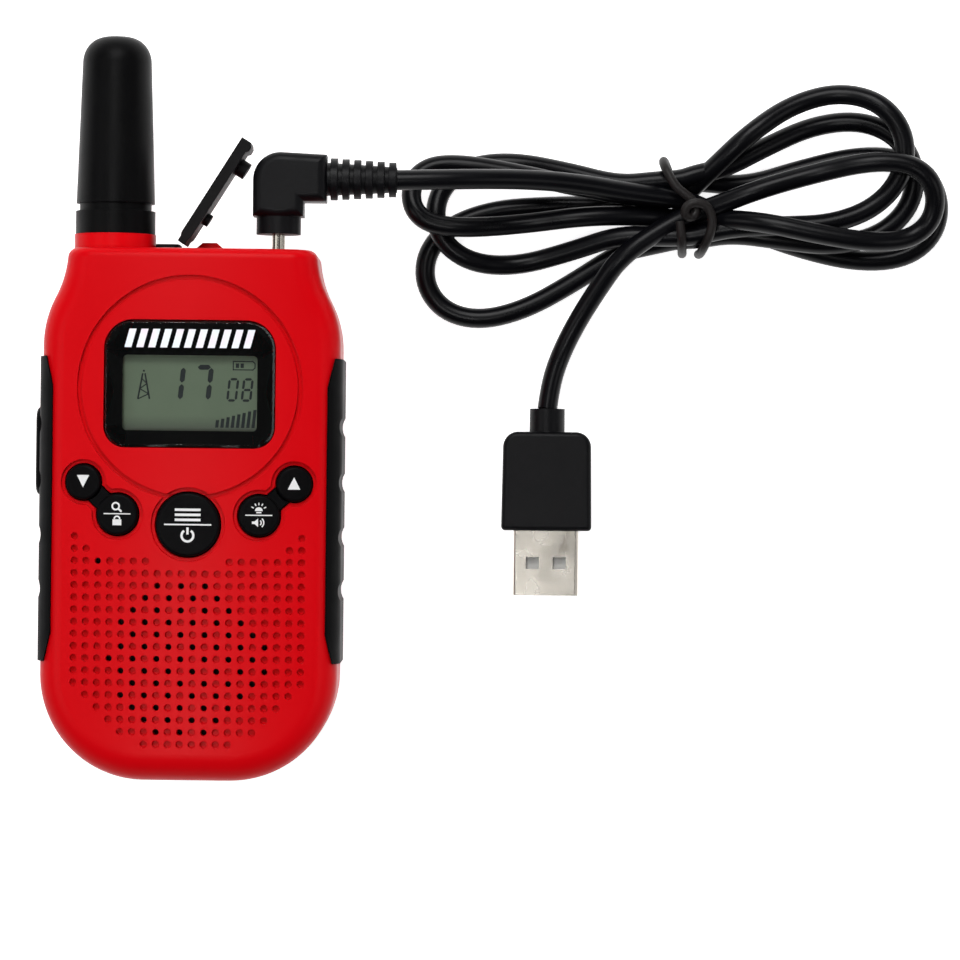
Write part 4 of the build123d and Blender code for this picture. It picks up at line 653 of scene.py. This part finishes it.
def row_tree():
    """A row of upright or leaning bars, each taller than the last by a step."""
    tree, given = open_tree("bar_row", (
        ("Start", "Vector", (0, 0, 0)), ("Count", "Int", 8), ("Pitch", "Float", 0.001),
        ("Width", "Float", 0.0005), ("Height", "Float", 0.002), ("Rise", "Float", 0.0),
        ("Thickness", "Float", 0.00003), ("Lean", "Float", 0.0), ("Finish", "Material", None)))
    step = add(tree, "ShaderNodeCombineXYZ", {"X": given["Pitch"]})
    line = add(tree, "GeometryNodeMeshLine", {
        "Count": given["Count"], "Start Location": given["Start"], "Offset": step.outputs[0]},
        mode="OFFSET")
    bar = add(tree, "GeometryNodeMeshCube", {"Size": (1, 1, 1)})
    footed = add(tree, "GeometryNodeTransform", {"Geometry": bar.outputs["Mesh"],
                                                 "Translation": (0, 0.5, 0.5)})
    index = add(tree, "GeometryNodeInputIndex")
    risen = add(tree, "ShaderNodeMath", {0: index.outputs[0], 1: given["Rise"], 2: given["Height"]},
                operation="MULTIPLY_ADD")
    size = add(tree, "ShaderNodeCombineXYZ", {
        "X": given["Width"], "Y": risen.outputs[0], "Z": given["Thickness"]})
    placed = add(tree, "GeometryNodeInstanceOnPoints", {
        "Points": line.outputs["Mesh"], "Instance": footed.outputs[0], "Scale": size.outputs[0]})
    real = add(tree, "GeometryNodeRealizeInstances", {"Geometry": placed.outputs[0]})
    where = add(tree, "ShaderNodeSeparateXYZ", {
        "Vector": add(tree, "GeometryNodeInputPosition").outputs[0]})
    foot = add(tree, "ShaderNodeSeparateXYZ", {"Vector": given["Start"]})
    above = add(tree, "ShaderNodeMath", {0: where.outputs["Y"], 1: foot.outputs["Y"]},
                operation="SUBTRACT")
    pushed = add(tree, "ShaderNodeMath", {0: above.outputs[0], 1: given["Lean"]},
                 operation="MULTIPLY")
    shift = add(tree, "ShaderNodeCombineXYZ", {"X": pushed.outputs[0]})
    leaned = add(tree, "GeometryNodeSetPosition", {
        "Geometry": real.outputs[0], "Offset": shift.outputs[0]})
    return close_tree(tree, leaned, given)


def grown(name, tree, material, body, slot, source=None, **values):
    """Runs a node tree with these inputs and keeps its result as a plain mesh piece."""
    host = bpy.data.objects.new(name + "_host", source or bpy.data.meshes.new(name + "_host"))
    scene.collection.objects.link(host)
    modifier = host.modifiers.new("grown", "NODES")
    modifier.node_group = tree
    for item in tree.interface.items_tree:
        label = item.name
        if item.item_type == "SOCKET" and item.in_out == "INPUT" and label in values:
            modifier[item.identifier] = values[label]
        elif item.item_type == "SOCKET" and item.in_out == "INPUT" and label == "Finish":
            modifier[item.identifier] = material
    bpy.context.view_layer.update()
    seen = host.evaluated_get(bpy.context.evaluated_depsgraph_get())
    mesh = bpy.data.meshes.new_from_object(seen)
    mesh.name = name
    bpy.data.objects.remove(host)
    return piece(name, mesh, material, body)


bar_row = row_tree()
grown("display_bars", bar_row, segment_ink, "radio", "display_glass",
      Start=(4.75 * MM, (WINDOW_Y - 6.1) * MM, FILM_TOP * MM), Count=8, Pitch=0.93 * MM,
      Width=0.58 * MM, Height=1.35 * MM, Rise=0.27 * MM, Thickness=SEGMENT * MM, Lean=LEAN)
LENS_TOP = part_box("display_lens")[1].z
grown("lens_bars", bar_row, foil, "radio", "black_ink",
      Start=(-11.0 * MM, 10.45 * MM, LENS_TOP), Count=11, Pitch=2.12 * MM,
      Width=1.25 * MM, Height=3.3 * MM, Rise=0.0, Thickness=PRINT * MM, Lean=0.27)


# ---------------------------------------------------------------- the tie round the hank
def wire_tree():
    """A round wire along a curve, closed at its ends."""
    tree, given = open_tree("coated_wire", (
        ("Geometry", "Geometry", None), ("Radius", "Float", 0.0008), ("Step", "Float", 0.0004),
        ("Sides", "Int", 20), ("Finish", "Material", None)))
    even = add(tree, "GeometryNodeResampleCurve", {"Curve": given["Geometry"],
                                                   "Length": given["Step"]}, mode="LENGTH")
    ring = add(tree, "GeometryNodeCurvePrimitiveCircle", {
        "Resolution": given["Sides"], "Radius": given["Radius"]})
    tube = add(tree, "GeometryNodeCurveToMesh", {
        "Curve": even.outputs[0], "Profile Curve": ring.outputs[0], "Fill Caps": True})
    smooth = add(tree, "GeometryNodeSetShadeSmooth", {"Geometry": tube.outputs[0]})
    real = add(tree, "GeometryNodeRealizeInstances", {"Geometry": smooth.outputs[0]})
    return close_tree(tree, real, given)


TIE_WIRE = 1.7              # thickness of the coated wire
# The wire starts under the lower edge of the bundle, goes up and over it to the knot, curls
# round itself there, goes on over the upper edge, under the bundle and up again to the knot.
tie_route = [
    (92.2, 29.9, 2.2), (92.3, 29.7, 5.2), (92.7, 30.6, 9.4), (93.8, 32.8, 10.9),
    (94.4, 35.7, 11.4), (93.4, 38.3, 11.8), (91.2, 39.0, 12.2), (89.4, 38.3, 12.2),
    (89.0, 36.7, 11.8), (90.2, 36.0, 11.2), (91.4, 37.0, 10.9), (91.0, 39.1, 10.9),
    (89.2, 40.5, 11.0), (87.6, 41.7, 11.0), (86.3, 43.7, 10.8), (85.3, 45.9, 9.6),
    (85.3, 47.1, 6.0), (86.0, 46.5, 2.2), (87.2, 43.1, 0.95), (88.4, 37.1, 0.95),
    (89.0, 32.6, 0.95), (89.2, 30.1, 2.2), (89.0, 29.7, 5.2), (88.8, 30.8, 9.6),
    (88.6, 33.0, 10.8), (88.3, 35.5, 10.9),
]
hank_wire = grown("hank_wire", wire_tree(), tie_pvc, "charge_lead", "tie_plastic",
                  source=nurbs("tie_path", tie_route), Radius=TIE_WIRE / 2 * MM)
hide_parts("hank_tie")

# ---------------------------------------------------------------- the lead as a real cord
charging_cord.data.materials.append(cord_pvc)
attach(charging_cord, "charge_lead")
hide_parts("cord_lead_in", "cord_hank", "cord_tail")

# ---------------------------------------------------------------- floor, lamps and world
FLOOR_HALF = 4.0
FLOOR_DROP = 0.0001
FLOOR_GLOW = 0.85


def white_where_seen(tree, lit, glow):
    """Adds a white glow for rays from the camera, from gloss and through clear parts."""
    rays = add(tree, "ShaderNodeLightPath").outputs
    seen = add(tree, "ShaderNodeMath", {0: rays["Is Camera Ray"], 1: rays["Is Glossy Ray"]},
               operation="MAXIMUM")
    seen = add(tree, "ShaderNodeMath", {0: seen.outputs[0], 1: rays["Is Transmission Ray"]},
               operation="MAXIMUM")
    power = add(tree, "ShaderNodeMath", {0: seen.outputs[0], 1: glow}, operation="MULTIPLY")
    light = add(tree, "ShaderNodeEmission", {"Color": shade(WHITE),
                                             "Strength": power.outputs[0]})
    return add(tree, "ShaderNodeAddShader", {0: lit, 1: light.outputs[0]}).outputs[0]


# Matt paper: white, so that little more than the contact shadows shows.
paper_white, tree = blank("floor_matt_paper")
sheet = add(tree, "ShaderNodeBsdfDiffuse", {"Color": shade("#f6f6f6")})
add(tree, "ShaderNodeOutputMaterial", {
    "Surface": white_where_seen(tree, sheet.outputs[0], FLOOR_GLOW)})
work = bmesh.new()
work.faces.new([work.verts.new((sx * FLOOR_HALF, sy * FLOOR_HALF, -FLOOR_DROP))
                for sx, sy in ((-1, -1), (1, -1), (1, 1), (-1, 1))])
mesh = bpy.data.meshes.new("studio_floor")
work.to_mesh(mesh)
work.free()
mesh.materials.append(paper_white)
studio_floor = bpy.data.objects.new("studio_floor", mesh)
scene.collection.objects.link(studio_floor)

world = bpy.data.worlds.new("studio")
world.use_nodes = True
scene.world = world
tree = world.node_tree
tree.nodes.clear()
# A white wall all round, up to WALL_TOP as a share of the way to straight overhead, under a dim
# studio ceiling, so that dark plastic stays dark.
WALL_TOP, CEILING_FOOT = 0.14, 0.30
WALL_LEVEL, CEILING_LEVEL = 1.0, 0.05
way = add(tree, "ShaderNodeTexCoord").outputs["Generated"]
height = add(tree, "ShaderNodeSeparateXYZ", {"Vector": way})
level = add(tree, "ShaderNodeMapRange", {
    "Value": height.outputs["Z"], "From Min": WALL_TOP, "From Max": CEILING_FOOT,
    "To Min": WALL_LEVEL, "To Max": CEILING_LEVEL})
sky = add(tree, "ShaderNodeBackground", {"Color": shade(WHITE),
                                         "Strength": level.outputs["Result"]})
add(tree, "ShaderNodeOutputWorld", {"Surface": sky.outputs[0]})

LAMP_AIM = Vector((0.05, 0, 0))
lamps = {
    # name: place, size, power
    "key_softbox": ((0.0, 0.62, 0.80), 0.5, 6.2),
    "top_softbox": ((-0.065, -0.17, 0.95), 0.2, 1.3),
    "antenna_softbox": ((-0.115, 0.21, 0.95), 0.10, 0.6),
    "left_softbox": ((-0.70, -0.05, 0.75), 0.45, 1.4),
    "right_softbox": ((0.80, -0.10, 0.75), 0.45, 1.0),
}
for name, (place, size, power) in lamps.items():
    light = bpy.data.lights.new(name, "AREA")
    light.shape, light.size, light.energy = "SQUARE", size, power
    lamp = bpy.data.objects.new(name, light)
    lamp.location = place
    lamp.rotation_euler = (LAMP_AIM - Vector(place)).to_track_quat("-Z", "Y").to_euler()
    scene.collection.objects.link(lamp)

scene.view_settings.view_transform = "Standard"
